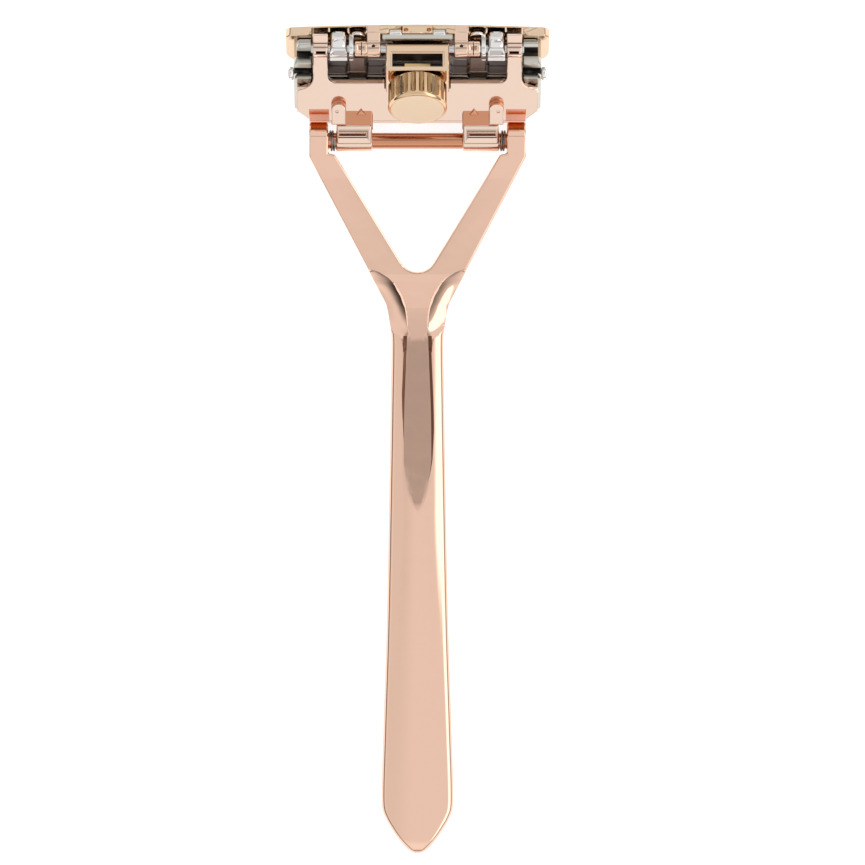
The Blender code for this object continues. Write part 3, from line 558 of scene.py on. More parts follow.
def make_handle():
    """The forked casting and its crowned grip."""
    fork = solid("handle", plate(mirrored(fork_outline()), -9 * MM, 9 * MM), ROSE)
    combine(fork, prism(fork_side(), -FORK_HALF * 2, FORK_HALF * 2), "INTERSECT")
    rounded(fork, 0.5 * MM, 4, 40, melt=0.02)
    start = GRIP_START * MM
    rows = [start + (TAIL_TO_ROD - start) * (i / GRIP_ROWS) for i in range(GRIP_ROWS - 6)]
    rows += [rows[-1] + (TAIL_TO_ROD - rows[-1]) * (1 - (1 - i / TAIL_ROWS) ** 2)
             for i in range(1, TAIL_ROWS + 1)]
    join(fork, loft([grip_ring(row) for row in rows]))
    scooped = [(SCOOP_TOP + SCOOP_LENGTH * i / SCOOP_ROWS) * MM for i in range(SCOOP_ROWS + 1)]
    for side, _ in HANDS:
        cut(fork, loft([scoop_ring(row, side) for row in scooped]),
            cylinder(CAP_HOLE, *span(side, FORK_HALF - 0.8 * MM, FORK_HALF + 1 * MM)),
            cylinder(ROD_HOLE, *span(side, FORK_HALF - ARM_WIDTH * 2, FORK_HALF)))
    even(fork, 20.0, melt=0.01)
    # the walls beside the grip's flat are painted shadow
    repainted(fork, SHADOW, on_wall)
    settle(fork, AT_ROD, "handle", "rose_gold", "handle")


# ------------------------------------------------------------------ head

BLADE_ANGLE = BLADE_TILT - HEAD_TILT
SKIN_DEPTH = ROD.z / math.cos(HEAD_TILT)
FIRST_EDGE = 3.0
EDGE_PITCH = 3.44
HINGE = (16.85 * MM, -9.04 * MM)
BOSS = 1.55 * MM
PIN = 0.83 * MM
KNUCKLE = 1.9 * MM
BED_THICKNESS = 1.1 * MM
SEAT_GAP = 0.08 * MM
SPINE = 12.25 * MM
SPINE_STEP = 3.0 * MM
ARM_ROOT = 8.75 * MM
ARM_INSET = 0.05 * MM
GAP_HALF = 17.0 * MM
KNOB_DEPTH = 13.77 * MM
KNOB_FOOT = -3.86
LEVELS = (("lower", "head"), ("middle", "middle_plate"), ("upper", "upper_plate"))


def edge_point(index):
    """Cutting edge of blade 0, 1 or 2, as depth and height in the stack frame."""
    along = (FIRST_EDGE + EDGE_PITCH * index) * MM
    return (along * math.cos(BLADE_ANGLE) - SKIN_DEPTH * math.sin(BLADE_ANGLE),
            -along * math.sin(BLADE_ANGLE) - SKIN_DEPTH * math.cos(BLADE_ANGLE))


def to_head(depth, height):
    """A point of the stack frame as seen in the head frame."""
    return (depth * math.cos(BLADE_ANGLE) - height * math.sin(BLADE_ANGLE),
            depth * math.sin(BLADE_ANGLE) + height * math.cos(BLADE_ANGLE))


LID_INNER = edge_point(2)[1] - SEAT_GAP
LID_OUTER = LID_INNER - 1.8 * MM
BED_TOP = edge_point(0)[1] + SEAT_GAP + BED_THICKNESS


def block(low, high):
    """A box between two corners given in millimetres."""
    return box(*mm(low, high))


def wall_outline():
    """The back wall with its uprights, right half, in the plane of the wall."""
    outline = mm((0.0, 4.5), (19.0, 4.5), (21.25, 6.35), (21.65, 7.4), (21.65, 10.35),
                 (21.35, 10.75))
    outline += arc((21.0 * MM, 13.35 * MM), 2.35 * MM, 262, 180, 12)
    outline += mm((18.65, 22.1), (15.95, 22.1))
    outline += arc((14.6 * MM, 13.6 * MM), 1.35 * MM, 0, -90, 10)
    return outline + mm((0.0, 12.25))


def make_guard():
    """The bar between the wall and the skin, which carries the bed."""
    front = to_head(edge_point(0)[0] - 2.0 * MM, BED_TOP + 0.03 * MM)
    back = to_head(edge_point(0)[0] + 10.35 * MM, BED_TOP + 0.03 * MM)
    section = [(0.25 * MM, -SKIN_DEPTH), (0.9 * MM, -SKIN_DEPTH + 0.03 * MM), front, back,
               (back[0], 0.7 * MM)]
    section += mm((4.9, 0.7), (4.9, -1.6), (1.5, -5.09), (0.75, -5.9), (0.0, -6.44))
    return softened(prism(section, -21.5 * MM, 21.5 * MM), 0.12 * MM, 2)


def clear_for_stack(base):
    """Cut the base back where the yoke, the lid and the bed lie."""
    yoke_room = mm((10.1, -15), (10.1, -3.56), (26, -3.56), (26, -15))
    cut(base, prism([to_head(*corner) for corner in yoke_room], -5.95 * MM, 5.95 * MM))
    lid_room = [(10 * MM, LID_INNER + 0.3 * MM), (26 * MM, LID_INNER + 0.3 * MM),
                (26 * MM, LID_INNER - 8 * MM), (10 * MM, LID_INNER - 8 * MM)]
    cut(base, prism([to_head(*corner) for corner in lid_room], -THROUGH, THROUGH))
    under = BED_TOP + 0.06 * MM
    spine = edge_point(0)[0] + SPINE + 0.3 * MM
    step = 18.68 * MM
    for depth, low, high in ((spine - SPINE_STEP, -step, step), (spine, step, THROUGH),
                             (spine, -THROUGH, -step)):
        bed_room = [(-8 * MM, under), (depth, under), (depth, under - 8 * MM),
                    (-8 * MM, under - 8 * MM)]
        cut(base, prism([to_head(*corner) for corner in bed_room], low, high))


def make_base():
    """The cast back wall with its guard, knuckles, uprights and hinge eyes."""
    wall = softened(plate(mirrored(wall_outline()), -0.7 * MM, 0.9 * MM), 0.18 * MM)
    base = solid("base", wall, CAST)
    join(base, make_guard())
    corner = mm((19.45, -1.0), (19.45, 4.86), (21.2, 6.33), (24, 6.33), (24, -1.0))
    for side, _ in HANDS:
        cut(base, plate([(side * x, y) for x, y in corner], -9 * MM, 3 * MM))
    eye = to_head(*HINGE)
    grooves = (((9.3, 0.78, 1.1), (14.0, 1.12, 3.2)), ((9.1, 0.40, 1.65), (14.2, 0.54, 3.2)),
               ((16.35, 15.1, 10.6), (18.1, 15.6, 13.0)), ((15.5, 16.25, 11.7), (19.0, 16.4, 13.0)),
               ((15.5, 16.95, 11.4), (19.0, 17.1, 13.0)), ((15.5, 13.7, 9.5), (19.0, 13.85, 13.0)))
    skin = mm((4.95, -1.66), (1.53, -5.14), (0.74, -5.94), (0.4, -5.0), (4.0, -0.6))
    for side, _ in HANDS:
        near, far = span(side, 8.15 * MM, 14.5 * MM)
        pad = box((near, 0.3 * MM, 0.2 * MM), (far, 4.15 * MM, 1.95 * MM))
        join(base, softened(cylinder(BOSS, *span(side, 16.0 * MM, 18.6 * MM), eye), 0.18 * MM),
             softened(cylinder(KNUCKLE, *span(side, 8.1 * MM, 14.6 * MM)), 0.25 * MM),
             softened(pad, 0.35 * MM, 4))
        # the grooves' cut faces are painted shadow
        for groove in grooves:
            cut_with_painted_shade(base, SHADOW, upright(handed(side, block(*groove)), HEAD_TILT))
        arm_room = span(side, 15.8 * MM, 19.4 * MM)
        # the hollows round the arms are cut with their faces in deep copper: painted shade
        cut_with_painted_shade(base, SCALLOP_PAINTED_SHADE, cylinder(6.9 * MM, *arm_room, (0.5 * MM, 3.2 * MM), sides=96),
                prism(skin, *arm_room))
    cut(base, cylinder(PIN, -THROUGH, THROUGH, eye), cylinder(ROD_HOLE, -THROUGH, THROUGH))
    clear_for_stack(base)
    even(base)
    settle(base, HEAD, "head", "rose_gold", "head_base")


def make_gussets():
    """The webs between the wall and its knuckles, with a small raised corner."""
    web = mm((2.0, -1.3), (5.4, -0.95), (7.0, 0.75), (6.4, 1.0), (4.2, 1.62), (3.0, 1.62))
    raised = mm((9.2, 5.9), (11.0, 5.9), (10.1, 7.1))
    for side, hand in HANDS:
        shape = softened(prism(web, *span(side, 8.0 * MM, 13.45 * MM)), 0.3 * MM, 4)
        # the gussets are drawn in the deeper copper tone, painted shade and reflection between the
        # wall and the knuckles
        made = solid("gusset_" + hand, shape, COPPER_PAINTED_SHADE)
        cut(made, cylinder(KNUCKLE, -THROUGH, THROUGH))
        corner = plate([(side * x, y) for x, y in raised], 0.2 * MM, 1.3 * MM)
        join(made, softened(corner, 0.18 * MM, 3))
        even(made)
        settle(made, HEAD, "head", "rose_gold")


def make_posts():
    """Round-topped spring posts on the wall, each with a pin in a dimple."""
    centre = (14.1 * MM, 7.6 * MM)
    for side, hand in HANDS:
        outline = mm((12.75, 4.55), (15.45, 4.55)) + arc(centre, 1.35 * MM, 0, 180, 24)
        shape = plate([(side * x, y) for x, y in outline], 0.95 * MM, 2.45 * MM)
        post = solid("post_" + hand, softened(shape, 0.3 * MM, 4), CAST)
        dimple = (side * 14.4 * MM, 7.3 * MM)
        cut(post, cylinder(0.33 * MM, 2.1 * MM, 3.5 * MM, dimple, axis="Z"))
        pin = cylinder(0.24 * MM, 1.6 * MM, 2.35 * MM, dimple, axis="Z")
        join(post, softened(pin, 0.06 * MM, 2))
        even(post)
        # the upper faces of each post's round top get the deeper copper tone, painted shade and
        # reflection
        repainted(post, COPPER_PAINTED_SHADE,
                  lambda face: face.center.y > centre[1] and face.normal.y > 0.25)
        settle(post, HEAD, "head", "rose_gold", "spring_post_" + hand)


def carrier_outline(index, half):
    """A carrier plate in plan, right half, with a lobed spine between the uprights."""
    front = edge_point(index)[0] + 1.1 * MM
    spine = edge_point(index)[0] + SPINE
    short = spine - SPINE_STEP
    lobes = mm((18.95, 0.0), (16.9, 0.0), (16.3, -0.5), (12.9, -0.5), (12.4, 0.15), (9.3, 0.15),
               (8.8, -0.5), (6.3, -0.5), (5.8, 0.0), (0.0, 0.0))
    return [(0.0, front), (half - 0.8 * MM, front), (half, front + 0.8 * MM),
            (half, spine - 0.5 * MM), (half - 0.5 * MM, spine), (18.95 * MM, spine)] + \
        [(x, short + y) for x, y in lobes]


def make_carrier(name, index):
    """One nickel plate with its magnet holes, and the heights of its two faces."""
    seat = edge_point(index)[1] + SEAT_GAP
    back = edge_point(index - 1)[1] - SEAT_GAP if index else BED_TOP
    half = (22.1 - (0.55 if index == 2 else 0.0)) * MM
    shape = plate(mirrored(carrier_outline(index, half)), seat, back)
    made = solid(name, softened(shape, 0.1 * MM), NICKEL)
    for side, _ in HANDS:
        at = (side * 11 * MM, edge_point(index)[0] + 6 * MM)
        cut(made, cylinder(1.68 * MM, seat - 1 * MM, seat + 0.7 * MM, at, axis="Z"))
        if index:
            end = edge_point(index)[0] + SPINE
            near, far = span(side, 18.8 * MM, THROUGH)
            # a notch at each end whose faces are painted shadow, for the dark gap between the
            # plates
            cut_with_painted_shade(made, NOTCH_PAINTED_SHADOW, box((near, end - 3.4 * MM, back - 0.9 * MM),
                                    (far, end - 1.5 * MM, back + 1 * MM)))
    return made, seat, back


def shaded_between_uprights(target, finish):
    """Paint shade on the part of a plate that shows between the uprights."""
    corners = target.data.vertices
    repainted(target, finish,
              lambda face: max(abs(corners[i].co.x) for i in face.vertices) < GAP_HALF)


def make_stack():
    """The bed, the two hinged plates, and the links that hang them on the pin."""
    bed, _, _ = make_carrier("bed", 0)
    even(bed)
    # the bed between the uprights is painted shade
    shaded_between_uprights(bed, BED_PAINTED_SHADE)
    settle(bed, STACK, "head", "nickel_plate", "lower_bed")

    middle, low, high = make_carrier("middle_plate_piece", 1)
    root = edge_point(1)[0] + ARM_ROOT
    arm = [(root, low + ARM_INSET), (14.95 * MM, low + ARM_INSET), (16.2 * MM, -9.95 * MM),
           (16.2 * MM, -7.95 * MM), (root, high - ARM_INSET)]
    for side, _ in HANDS:
        join(middle, softened(prism(arm, *span(side, 9.45 * MM, 12.15 * MM)), 0.12 * MM, 2))
        cut(middle, cylinder(1.7 * MM, *span(side, 9.2 * MM, 11.3 * MM), HINGE))
    cut(middle, cylinder(PIN, -THROUGH, THROUGH, HINGE))
    even(middle)
    shaded_between_uprights(middle, SHADE)
    settle(middle, STACK, "middle_plate", "nickel_plate", "middle_carrier")

    upper, low, high = make_carrier("upper_plate_piece", 2)
    root = edge_point(2)[0] + ARM_ROOT
    arm = [(root, low + ARM_INSET), (16.3 * MM, low + ARM_INSET), (16.3 * MM, high + 0.2 * MM),
           (root, high - ARM_INSET)]
    for side, _ in HANDS:
        join(upper, prism(arm, *span(side, 12.55 * MM, 15.6 * MM)))
    cut(upper, cylinder(1.56 * MM, -THROUGH, THROUGH, HINGE))
    even(upper)
    shaded_between_uprights(upper, SHADE)
    settle(upper, STACK, "upper_plate", "nickel_plate", "upper_carrier")

    for side, hand in HANDS:
        make_link(side, hand)
        make_hook(side, hand)


def tab_outline(side, inner, outer, root, tip):
    """A tab in plan with a round end."""
    radius = (outer - inner) / 2
    end = arc(((inner + outer) / 2, tip - radius), radius, 0, 180, 24)
    return [(side * x, y) for x, y in [(inner, root), (outer, root)] + end]


def make_link(side, hand):
    """A bright arched link round the pin, with a slot where its curl closes."""
    inner, outer = 12.5 * MM, 15.65 * MM
    profile = mm((16.4, -11.55), (18.75, -11.55), (18.75, -11.0)) + arc(HINGE, BOSS, 0, 140, 24)
    profile += mm((15.2, -7.55), (14.6, -7.75), (14.6, -9.0), (15.35, -9.2), (15.6, -10.0),
                  (16.4, -10.55))
    link = solid("link_" + hand,
                 softened(prism(profile, *span(side, inner, outer)), 0.14 * MM), CHROME)
    tab = tab_outline(side, inner - 0.01 * MM, outer + 0.01 * MM, 12 * MM, 18.74 * MM)
    combine(link, softened(plate(tab, -14 * MM, -5 * MM), 0.1 * MM, 2), "INTERSECT")
    window = block((13.1, 17.95, -11.3), (15.05, 20, -10.05))
    slot = upright(block((12.85, 14.85, 11.15), (14.95, 15.75, 13.5)), BLADE_TILT)
    seam = upright(block((12.0, 14.3, 11.15), (16.0, 14.38, 13.5)), BLADE_TILT)
    cut(link, *(handed(side, shape) for shape in (window, slot, seam)),
        cylinder(PIN, -THROUGH, THROUGH, HINGE))
    even(link)
    settle(link, STACK, "upper_plate", "chrome_plate")


def make_hook(side, hand):
    """The middle plate's bright loop: a leg round the pin, an arch over the lid's knuckle."""
    inner, outer = 9.25 * MM, 12.2 * MM
    arch = plate(tab_outline(side, inner, outer, 16.5 * MM, 18.75 * MM), -11.55 * MM, -10.95 * MM)
    loop = solid("hook_" + hand, softened(arch, 0.14 * MM), CHROME)
    hole = tab_outline(side, inner + 0.8 * MM, outer - 0.8 * MM, 15 * MM, 18.1 * MM)
    cut(loop, plate(hole, -13 * MM, -10 * MM))
    leg = mm((16.5, -11.5), (18.0, -11.5), (18.3, -10.2)) + arc(HINGE, BOSS, 0, 150, 20)
    leg += mm((15.0, -7.7), (14.5, -8.0), (15.3, -9.2), (15.7, -10.0), (16.5, -10.5))
    join(loop, softened(prism(leg, *span(side, 11.4 * MM, outer)), 0.12 * MM))
    cut(loop, cylinder(PIN, -THROUGH, THROUGH, HINGE))
    even(loop)
    settle(loop, STACK, "middle_plate", "chrome_plate")


def lid_outline():
    """The lid in plan, right half: a bowed spine and round front corners."""
    half = 23.5 * MM
    steps = 16
    spine = [((half - 0.8 * MM) * i / steps, (19.3 - 0.9 * (i / steps) ** 2) * MM)
             for i in range(steps + 1)]
    corner = arc((half - 3.2 * MM, 12.6 * MM), 3.2 * MM, -90, 0, 12)
    return [(0.0, 8.25 * MM), (half - 7.0 * MM, 8.25 * MM)] + corner + \
        [(half, spine[-1][1] - 0.7 * MM)] + spine[::-1]


def make_lid():
    """The gold lid, with pockets over the links and notches in its spine."""
    shape = softened(plate(mirrored(lid_outline()), LID_OUTER, LID_INNER), 0.22 * MM)
    lid = solid("lid_piece", shape, GOLD)
    for side, _ in HANDS:
        pocket = box((9.15 * MM, 13.9 * MM, LID_OUTER + 0.42 * MM), (18.9 * MM, 24 * MM, -5 * MM))
        notch = box((2.65 * MM, 17.25 * MM, LID_OUTER + 0.45 * MM), (5.15 * MM, 24 * MM, -5 * MM))
        drilled = (side * 2.05 * MM, -11.55 * MM)
        cut(lid, handed(side, pocket), handed(side, notch),
            cylinder(0.42 * MM, 17.6 * MM, 24 * MM, drilled, axis="Y", sides=40))
    even(lid)
    settle(lid, STACK, "lid", "yellow_gold", "lid")


def make_lugs():
    """The lid's pebbled lugs, each with a knuckle on the pin."""
    web = [(16.5 * MM, LID_OUTER + 0.1 * MM), (19.26 * MM, LID_OUTER + 0.1 * MM)]
    web += mm((19.26, -11.2), (18.75, -10.4), (18.3, -9.7)) + arc(HINGE, BOSS, 0, 160, 24)
    web += mm((15.6, -9.2), (16.2, -10.4))
    for side, hand in HANDS:
        shape = softened(prism(web, *span(side, 6.6 * MM, 9.0 * MM)), 0.35 * MM, 5)
        lug = solid("lug_" + hand, shape, PEBBLED)
        knuckle = cylinder(1.45 * MM, *span(side, 8.9 * MM, 11.2 * MM), HINGE)
        join(lug, softened(knuckle, 0.2 * MM))
        drilled = cylinder(0.3 * MM, 11.0 * MM, 14 * MM, (side * 7.85 * MM, 16.5 * MM), axis="Z")
        seam = handed(side, block((9.9, 14.9, 11.2), (10.05, 18.0, 13.5)))
        # the drilled hole and the seam are cut with their faces painted shadow
        cut_with_painted_shade(lug, SHADOW, upright(drilled, BLADE_TILT), upright(seam, BLADE_TILT))
        cut(lug, cylinder(PIN, -THROUGH, THROUGH, HINGE))
        even(lug)
        settle(lug, STACK, "lid", "rose_gold")


def make_lid_bar():
    """The bar along the lid's spine and the two rollers beside it."""
    shape = box((-6.3 * MM, 18.05 * MM, LID_INNER + 0.02 * MM), (6.3 * MM, 18.95 * MM, -9.95 * MM))
    bar = solid("lid_bar_piece", softened(shape, 0.15 * MM), NICKEL)
    even(bar)
    settle(bar, STACK, "lid", "nickel_plate", "lid_bar")
    for side, hand in HANDS:
        shape = cylinder(0.92 * MM, *span(side, 2.75 * MM, 5.05 * MM), (18.2 * MM, -11.15 * MM))
        roller = solid("lid_roller_" + hand, softened(shape, 0.25 * MM, 4), CHROME)
        even(roller)
        settle(roller, STACK, "lid", "chrome_plate")


def make_yoke():
    """The block on the pin that carries the knob, with a framed window."""
    section = mm((10.4, KNOB_FOOT), (10.4, -6.9), (15.3, -6.9), (15.3, -9.23), (15.9, -9.83),
                 (17.4, -9.83), (18.0, -9.23), (18.0, KNOB_FOOT))
    yoke = solid("yoke_piece", softened(prism(section, -5.65 * MM, 5.65 * MM), 0.16 * MM), GOLD)
    cut(yoke, softened(block((-4.8, 17.7, -7.85), (4.8, 20, -4.6)), 0.12 * MM),
        block((-4.5, 11.4, -7.55), (4.5, 20, -4.83)), block((-6, 17.9, -9.02), (6, 20, -8.92)),
        cylinder(PIN, -THROUGH, THROUGH, HINGE),
        cylinder(1.35 * MM, -6 * MM, 0, (0, KNOB_DEPTH), axis="Z"))
    even(yoke)
    # the faces inside the yoke's window are painted shade
    low, high = mm((-4.55, 11.3, -7.6), (4.55, 17.6, -4.8))
    repainted(yoke, SHADE, lambda face: all(a < b < c for a, b, c in zip(low, face.center, high)))
    settle(yoke, STACK, "head", "yellow_gold", "yoke")


def node_group(name, sockets):
    """A Geometry Nodes tree with named inputs and a geometry output."""
    tree = bpy.data.node_groups.new(name, "GeometryNodeTree")
    for title, kind, value in sockets:
        socket = tree.interface.new_socket(title, in_out="INPUT", socket_type=kind)
        if value is not None:
            socket.default_value = value
    tree.interface.new_socket("Geometry", in_out="OUTPUT", socket_type="NodeSocketGeometry")
    return tree, tree.nodes.new("NodeGroupInput"), tree.nodes.new("NodeGroupOutput")


def finished(tree, shape, given, out):
    """End a tree: real geometry, in its finish."""
    real = tree.nodes.new("GeometryNodeRealizeInstances")
    colour = tree.nodes.new("GeometryNodeSetMaterial")
    tree.links.new(shape, real.inputs["Geometry"])
    tree.links.new(real.outputs["Geometry"], colour.inputs["Geometry"])
    tree.links.new(given.outputs["Finish"], colour.inputs["Material"])
    tree.links.new(colour.outputs["Geometry"], out.inputs["Geometry"])
    return tree


def grown(name, tree, values):
    """Run a Geometry Nodes tree with named values and keep its plain mesh."""
    made = bpy.data.objects.new(name, bpy.data.meshes.new(name))
    bpy.context.scene.collection.objects.link(made)
    step = made.modifiers.new("grow", "NODES")
    step.node_group = tree
    ids = {item.name: item.identifier for item in tree.interface.items_tree
           if item.in_out == "INPUT"}
    for title, value in values.items():
        step[ids[title]] = value
    made.update_tag()
    freeze(made)
    return made


def flute_tree():
    """Round-ended flutes in a ring round Z."""
    tree, given, out = node_group("flute_ring", (
        ("Count", "NodeSocketInt", 22), ("Ring radius", "NodeSocketFloat", 5.5 * MM),
        ("Flute radius", "NodeSocketFloat", 0.5 * MM), ("Length", "NodeSocketFloat", 4 * MM),
        ("Finish", "NodeSocketMaterial", None)))
    link = tree.links.new
    ring = tree.nodes.new("GeometryNodeMeshCircle")
    bar = tree.nodes.new("GeometryNodeMeshCylinder")
    bar.inputs["Vertices"].default_value = 24
    end = tree.nodes.new("GeometryNodeMeshUVSphere")
    end.inputs["Segments"].default_value = 24
    end.inputs["Rings"].default_value = 12
    bars = tree.nodes.new("GeometryNodeInstanceOnPoints")
    ends = tree.nodes.new("GeometryNodeInstanceOnPoints")
    half = tree.nodes.new("ShaderNodeMath")
    half.operation = "MULTIPLY"
    half.inputs[1].default_value = 0.5
    shift = tree.nodes.new("ShaderNodeCombineXYZ")
    lift = tree.nodes.new("GeometryNodeTransform")
    both = tree.nodes.new("GeometryNodeJoinGeometry")
    link(given.outputs["Count"], ring.inputs["Vertices"])
    link(given.outputs["Ring radius"], ring.inputs["Radius"])
    link(given.outputs["Flute radius"], bar.inputs["Radius"])
    link(given.outputs["Flute radius"], end.inputs["Radius"])
    link(given.outputs["Length"], bar.inputs["Depth"])
    link(given.outputs["Length"], half.inputs[0])
    link(half.outputs["Value"], shift.inputs["Z"])
    link(end.outputs["Mesh"], lift.inputs["Geometry"])
    link(shift.outputs["Vector"], lift.inputs["Translation"])
    link(ring.outputs["Mesh"], bars.inputs["Points"])
    link(ring.outputs["Mesh"], ends.inputs["Points"])
    link(bar.outputs["Mesh"], bars.inputs["Instance"])
    link(lift.outputs["Geometry"], ends.inputs["Instance"])
    link(bars.outputs["Instances"], both.inputs["Geometry"])
    link(ends.outputs["Instances"], both.inputs["Geometry"])
    return finished(tree, both.outputs["Geometry"], given, out)


def make_knob():
    """The fluted thumb knob with a plain rim and a flat face."""
    foot = KNOB_FOOT * MM + 0.6 * MM
    face = foot + 5.0 * MM
    body = cylinder(5.27 * MM, foot, face, axis="Z", sides=132)
    knob = solid("knob_piece", softened(body, 0.55 * MM, 5), KNOB_GOLD)
    # the flutes are cut with their faces in a darker gold: painted shade in the flutes
    flutes = grown("flutes", flute_tree(), {
        "Count": 22, "Ring radius": 5.42 * MM, "Flute radius": 0.52 * MM, "Length": 6.4 * MM,
        "Finish": SHADED_FLUTE_GOLD})
    flutes.data.transform(Matrix.Translation((0, 0, face - 1.15 * MM - 3.2 * MM)))
    merge(knob, flutes, "DIFFERENCE", material_mode="TRANSFER", use_self=True)
    cut(knob, cylinder(1.3 * MM, foot - 1 * MM, foot + 2.6 * MM, axis="Z"))
    even(knob, 28.0)
    # the knob's flat top face gets the lighter gold: painted light
    repainted(knob, SATIN_LIT_GOLD,
              lambda part: part.normal.z > 0.995 and part.center.z > face - 0.1 * MM)
    knob.data.transform(Matrix.Translation((0, KNOB_DEPTH, 0)))
    settle(knob, STACK, "knob", "yellow_gold", "thumb_knob")


def spring_tree():
    """A coil of round wire along Z."""
    tree, given, out = node_group("coil", (
        ("Coil radius", "NodeSocketFloat", 1.7 * MM), ("Wire radius", "NodeSocketFloat", 0.16 * MM),
        ("Turns", "NodeSocketFloat", 2.0), ("Length", "NodeSocketFloat", 0.9 * MM),
        ("Finish", "NodeSocketMaterial", None)))
    link = tree.links.new
    coil = tree.nodes.new("GeometryNodeCurveSpiral")
    coil.inputs["Resolution"].default_value = 48
    ring = tree.nodes.new("GeometryNodeCurvePrimitiveCircle")
    ring.inputs["Resolution"].default_value = 16
    skin = tree.nodes.new("GeometryNodeCurveToMesh")
    skin.inputs["Fill Caps"].default_value = True
    for title, socket in (("Turns", "Rotations"), ("Coil radius", "Start Radius"),
                          ("Coil radius", "End Radius"), ("Length", "Height")):
        link(given.outputs[title], coil.inputs[socket])
    link(given.outputs["Wire radius"], ring.inputs["Radius"])
    link(coil.outputs["Curve"], skin.inputs["Curve"])
    link(ring.outputs["Curve"], skin.inputs["Profile Curve"])
    return finished(tree, skin.outputs["Mesh"], given, out)


def make_springs():
    tree = spring_tree()
    for side, hand in HANDS:
        spring = grown("spring_" + hand, tree, {
            "Coil radius": 1.72 * MM, "Wire radius": 0.17 * MM, "Turns": 2.0,
            "Length": 0.86 * MM, "Finish": DARK_STEEL})
        turn = Matrix.Rotation(side * math.pi / 2, 4, "Y")
        spring.data.transform(Matrix.Translation((side * 14.87 * MM, 0, 0)) @ turn)
        spring.data.shade_smooth()
        settle(spring, AT_ROD, "handle", "spring_steel", "return_spring_" + hand)


def make_small_parts():
    """Rod, caps, blades, magnets, screw, washer, clip, nut and pins."""
    # the rod is drawn in the deeper copper tone, painted reflection of the rose-gold parts round it
    refined("cross_rod", "rod", COPPER_PAINTED_SHADE, "handle", "rose_gold", 0.12 * MM, 2)
    for side, hand in HANDS:
        refined("rod_cap_" + hand, "rod_cap_dressed_" + hand, ROSE, "handle", "rose_gold",
                0.12 * MM)
        shape = cylinder(1.2 * MM, *span(side, 22.1 * MM, 23.15 * MM), (12.2 * MM, -6.7 * MM))
        pin = solid("end_pin_dressed_" + hand, softened(shape, 0.4 * MM, 5), CHROME)
        even(pin)
        settle(pin, STACK, "head", "chrome_plate", "end_pin_" + hand)
        for level, body in LEVELS:
            refined(f"magnet_{level}_{hand}", f"disc_{level}_{hand}", STEEL, body, "magnet",
                    0.08 * MM)
    for level, body in LEVELS:
        refined("blade_" + level, level + "_blade", STEEL, body, "blade_steel", 0.03 * MM, 1)
    refined("clamp_screw", "screw_piece", DARK_STEEL, "knob", "spring_steel", 0.05 * MM)
    refined("thrust_washer", "washer_piece", STEEL, "knob", "spring_steel", 0.05 * MM)
    refined("retaining_clip", "clip_piece", DARK_STEEL, "knob", "spring_steel", 0.03 * MM)
    refined("clamp_nut", "nut_piece", BRASS, "nut", "brass_nut", 0.08 * MM)
    refined("hinge_pin", "pin_piece", STEEL, "head", "spring_steel", 0.08 * MM)


# ------------------------------------------------------------------ floor, light and camera

def make_floor():
    """A plain pale floor that stays white under the razor's shadow."""
    shape = bmesh.new()
    bmesh.ops.create_grid(shape, x_segments=1, y_segments=1, size=6.0)
    finish = bpy.data.materials.new("floor")
    finish.use_nodes = True
    shader = finish.node_tree.nodes["Principled BSDF"]
    shader.inputs["Base Color"].default_value = (0.45, 0.45, 0.45, 1.0)
    shader.inputs["Roughness"].default_value = 0.85
    shader.inputs["Specular IOR Level"].default_value = 0.2
    shader.inputs["Emission Color"].default_value = (1.0, 1.0, 1.0, 1.0)
    shader.inputs["Emission Strength"].default_value = 0.76
    solid("floor", shape, finish)


def make_overhead_light():
    """A wide soft light that lifts the floor and is kept out of the metal's reflections."""
    light = bpy.data.lights.new("overhead", "AREA")
    light.shape = "RECTANGLE"
    light.size = 1.6
    light.size_y = 1.6
    light.energy = 4.0
    made = bpy.data.objects.new("overhead", light)
    bpy.context.scene.collection.objects.link(made)
    made.location = (0.0, 0.0, 1.2)
    made.visible_glossy = False


class Room:
    """The room around the razor, as a brightness that changes with the direction."""

    def __init__(self):
        world = bpy.data.worlds.new("room")
        bpy.context.scene.world = world
        world.use_nodes = True
        self.tree = world.node_tree
        self.back = self.tree.nodes["Background"]
        place = self.tree.nodes.new("ShaderNodeTexCoord")
        split = self.tree.nodes.new("ShaderNodeSeparateXYZ")
        self.tree.links.new(place.outputs["Generated"], split.inputs["Vector"])
        self.axis = {name: split.outputs[name] for name in "XYZ"}

    def ramp(self, axis, start, end):
        """0 to 1, smoothly, as one component of the direction goes from start to end."""
        made = self.tree.nodes.new("ShaderNodeMapRange")
        made.interpolation_type = "SMOOTHSTEP"
        made.inputs["From Min"].default_value = start
        made.inputs["From Max"].default_value = end
        self.tree.links.new(self.axis[axis], made.inputs["Value"])
        return made.outputs["Result"]

    def maths(self, kind, first, second):
        """Add or multiply two values, each a number or a node's output."""
        made = self.tree.nodes.new("ShaderNodeMath")
        made.operation = kind
        for socket, value in zip(made.inputs, (first, second)):
            if isinstance(value, (int, float)):
                socket.default_value = value
            else:
                self.tree.links.new(value, socket)
        return made.outputs["Value"]

    def window(self, axis, low, high, soft):
        """1 while one component of the direction is between low and high, 0 outside."""
        return self.maths("MULTIPLY", self.ramp(axis, low - soft, low + soft),
                          self.ramp(axis, high + soft, high - soft))

    def card(self, light, amount, *windows):
        """Add an amount of light, or take it off, where all the windows overlap."""
        share = windows[0]
        for other in windows[1:]:
            share = self.maths("MULTIPLY", share, other)
        return self.maths("ADD", light, self.maths("MULTIPLY", share, amount))


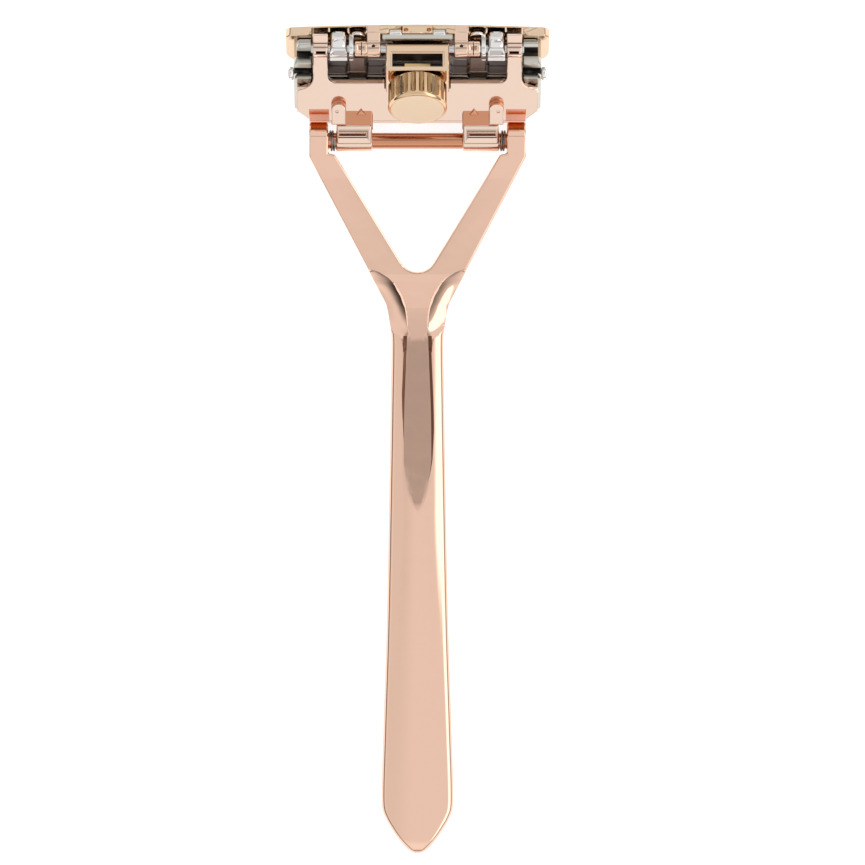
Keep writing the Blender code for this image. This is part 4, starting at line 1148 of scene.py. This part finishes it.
def make_room():
    """A light tent: bright above, dark at its foot, with a bright side and a gap above."""
    room = Room()
    ramp, window = room.ramp, room.window
    low_side = window("Z", 0.0, 0.56, 0.10)
    cards = (
        # dark and low on the left, bright on the right
        (-0.22, ramp("X", -0.15, -0.85), window("Z", -0.1, 0.35, 0.12)),
        (1.0, window("X", 0.45, 0.97, 0.05), window("Z", 0.40, 0.83, 0.03)),
        # greyer right above, and darker still in a gap, which the grip's flat mirrors
        (-0.15, ramp("Y", -0.036, 0.004), ramp("Z", 0.85, 0.93)),
        (-0.28, window("Y", 0.036, 0.30, 0.010), window("X", -0.25, 0.25, 0.1),
         ramp("Z", 0.85, 0.93)),
        # brighter towards the tail
        (0.16, ramp("Y", -0.45, -0.85), window("Z", 0.2, 0.75, 0.1)),
        # greyer high on the left, and low beside the tail, for the scoops
        (-0.08, ramp("X", -0.05, -0.40), ramp("Z", 0.6, 0.8)),
        (-0.05, ramp("X", -0.12, -0.38), ramp("Y", -0.06, -0.28), low_side),
        (-0.04, ramp("X", 0.1, 0.35), ramp("Y", -0.1, -0.3), low_side))
    light = room.maths("ADD", 0.30, room.maths("MULTIPLY", ramp("Z", 0.0, 0.55), 0.63))
    for amount, *windows in cards:
        light = room.card(light, amount, *windows)
    room.tree.links.new(light, room.back.inputs["Strength"])
    room.back.inputs["Color"].default_value = (1.0, 0.995, 0.985, 1.0)


def make_camera():
    """A long lens straight above the razor."""
    data = bpy.data.cameras.new("camera")
    data.sensor_width = 36.0
    data.lens = 400.0
    made = bpy.data.objects.new("camera", data)
    bpy.context.scene.collection.objects.link(made)
    width = 154.6 * MM
    distance = width * data.lens / data.sensor_width
    made.location = (2.68 * MM, 1.4 * MM, distance + 12 * MM)
    bpy.context.scene.camera = made
    bpy.context.scene.view_settings.view_transform = "Standard"


for make in (make_handle, make_base, make_gussets, make_posts, make_stack, make_lid, make_lugs,
             make_lid_bar, make_yoke, make_knob, make_springs, make_small_parts, make_floor,
             make_room, make_overhead_light, make_camera):
    make()

bpy.context.view_layer.update()
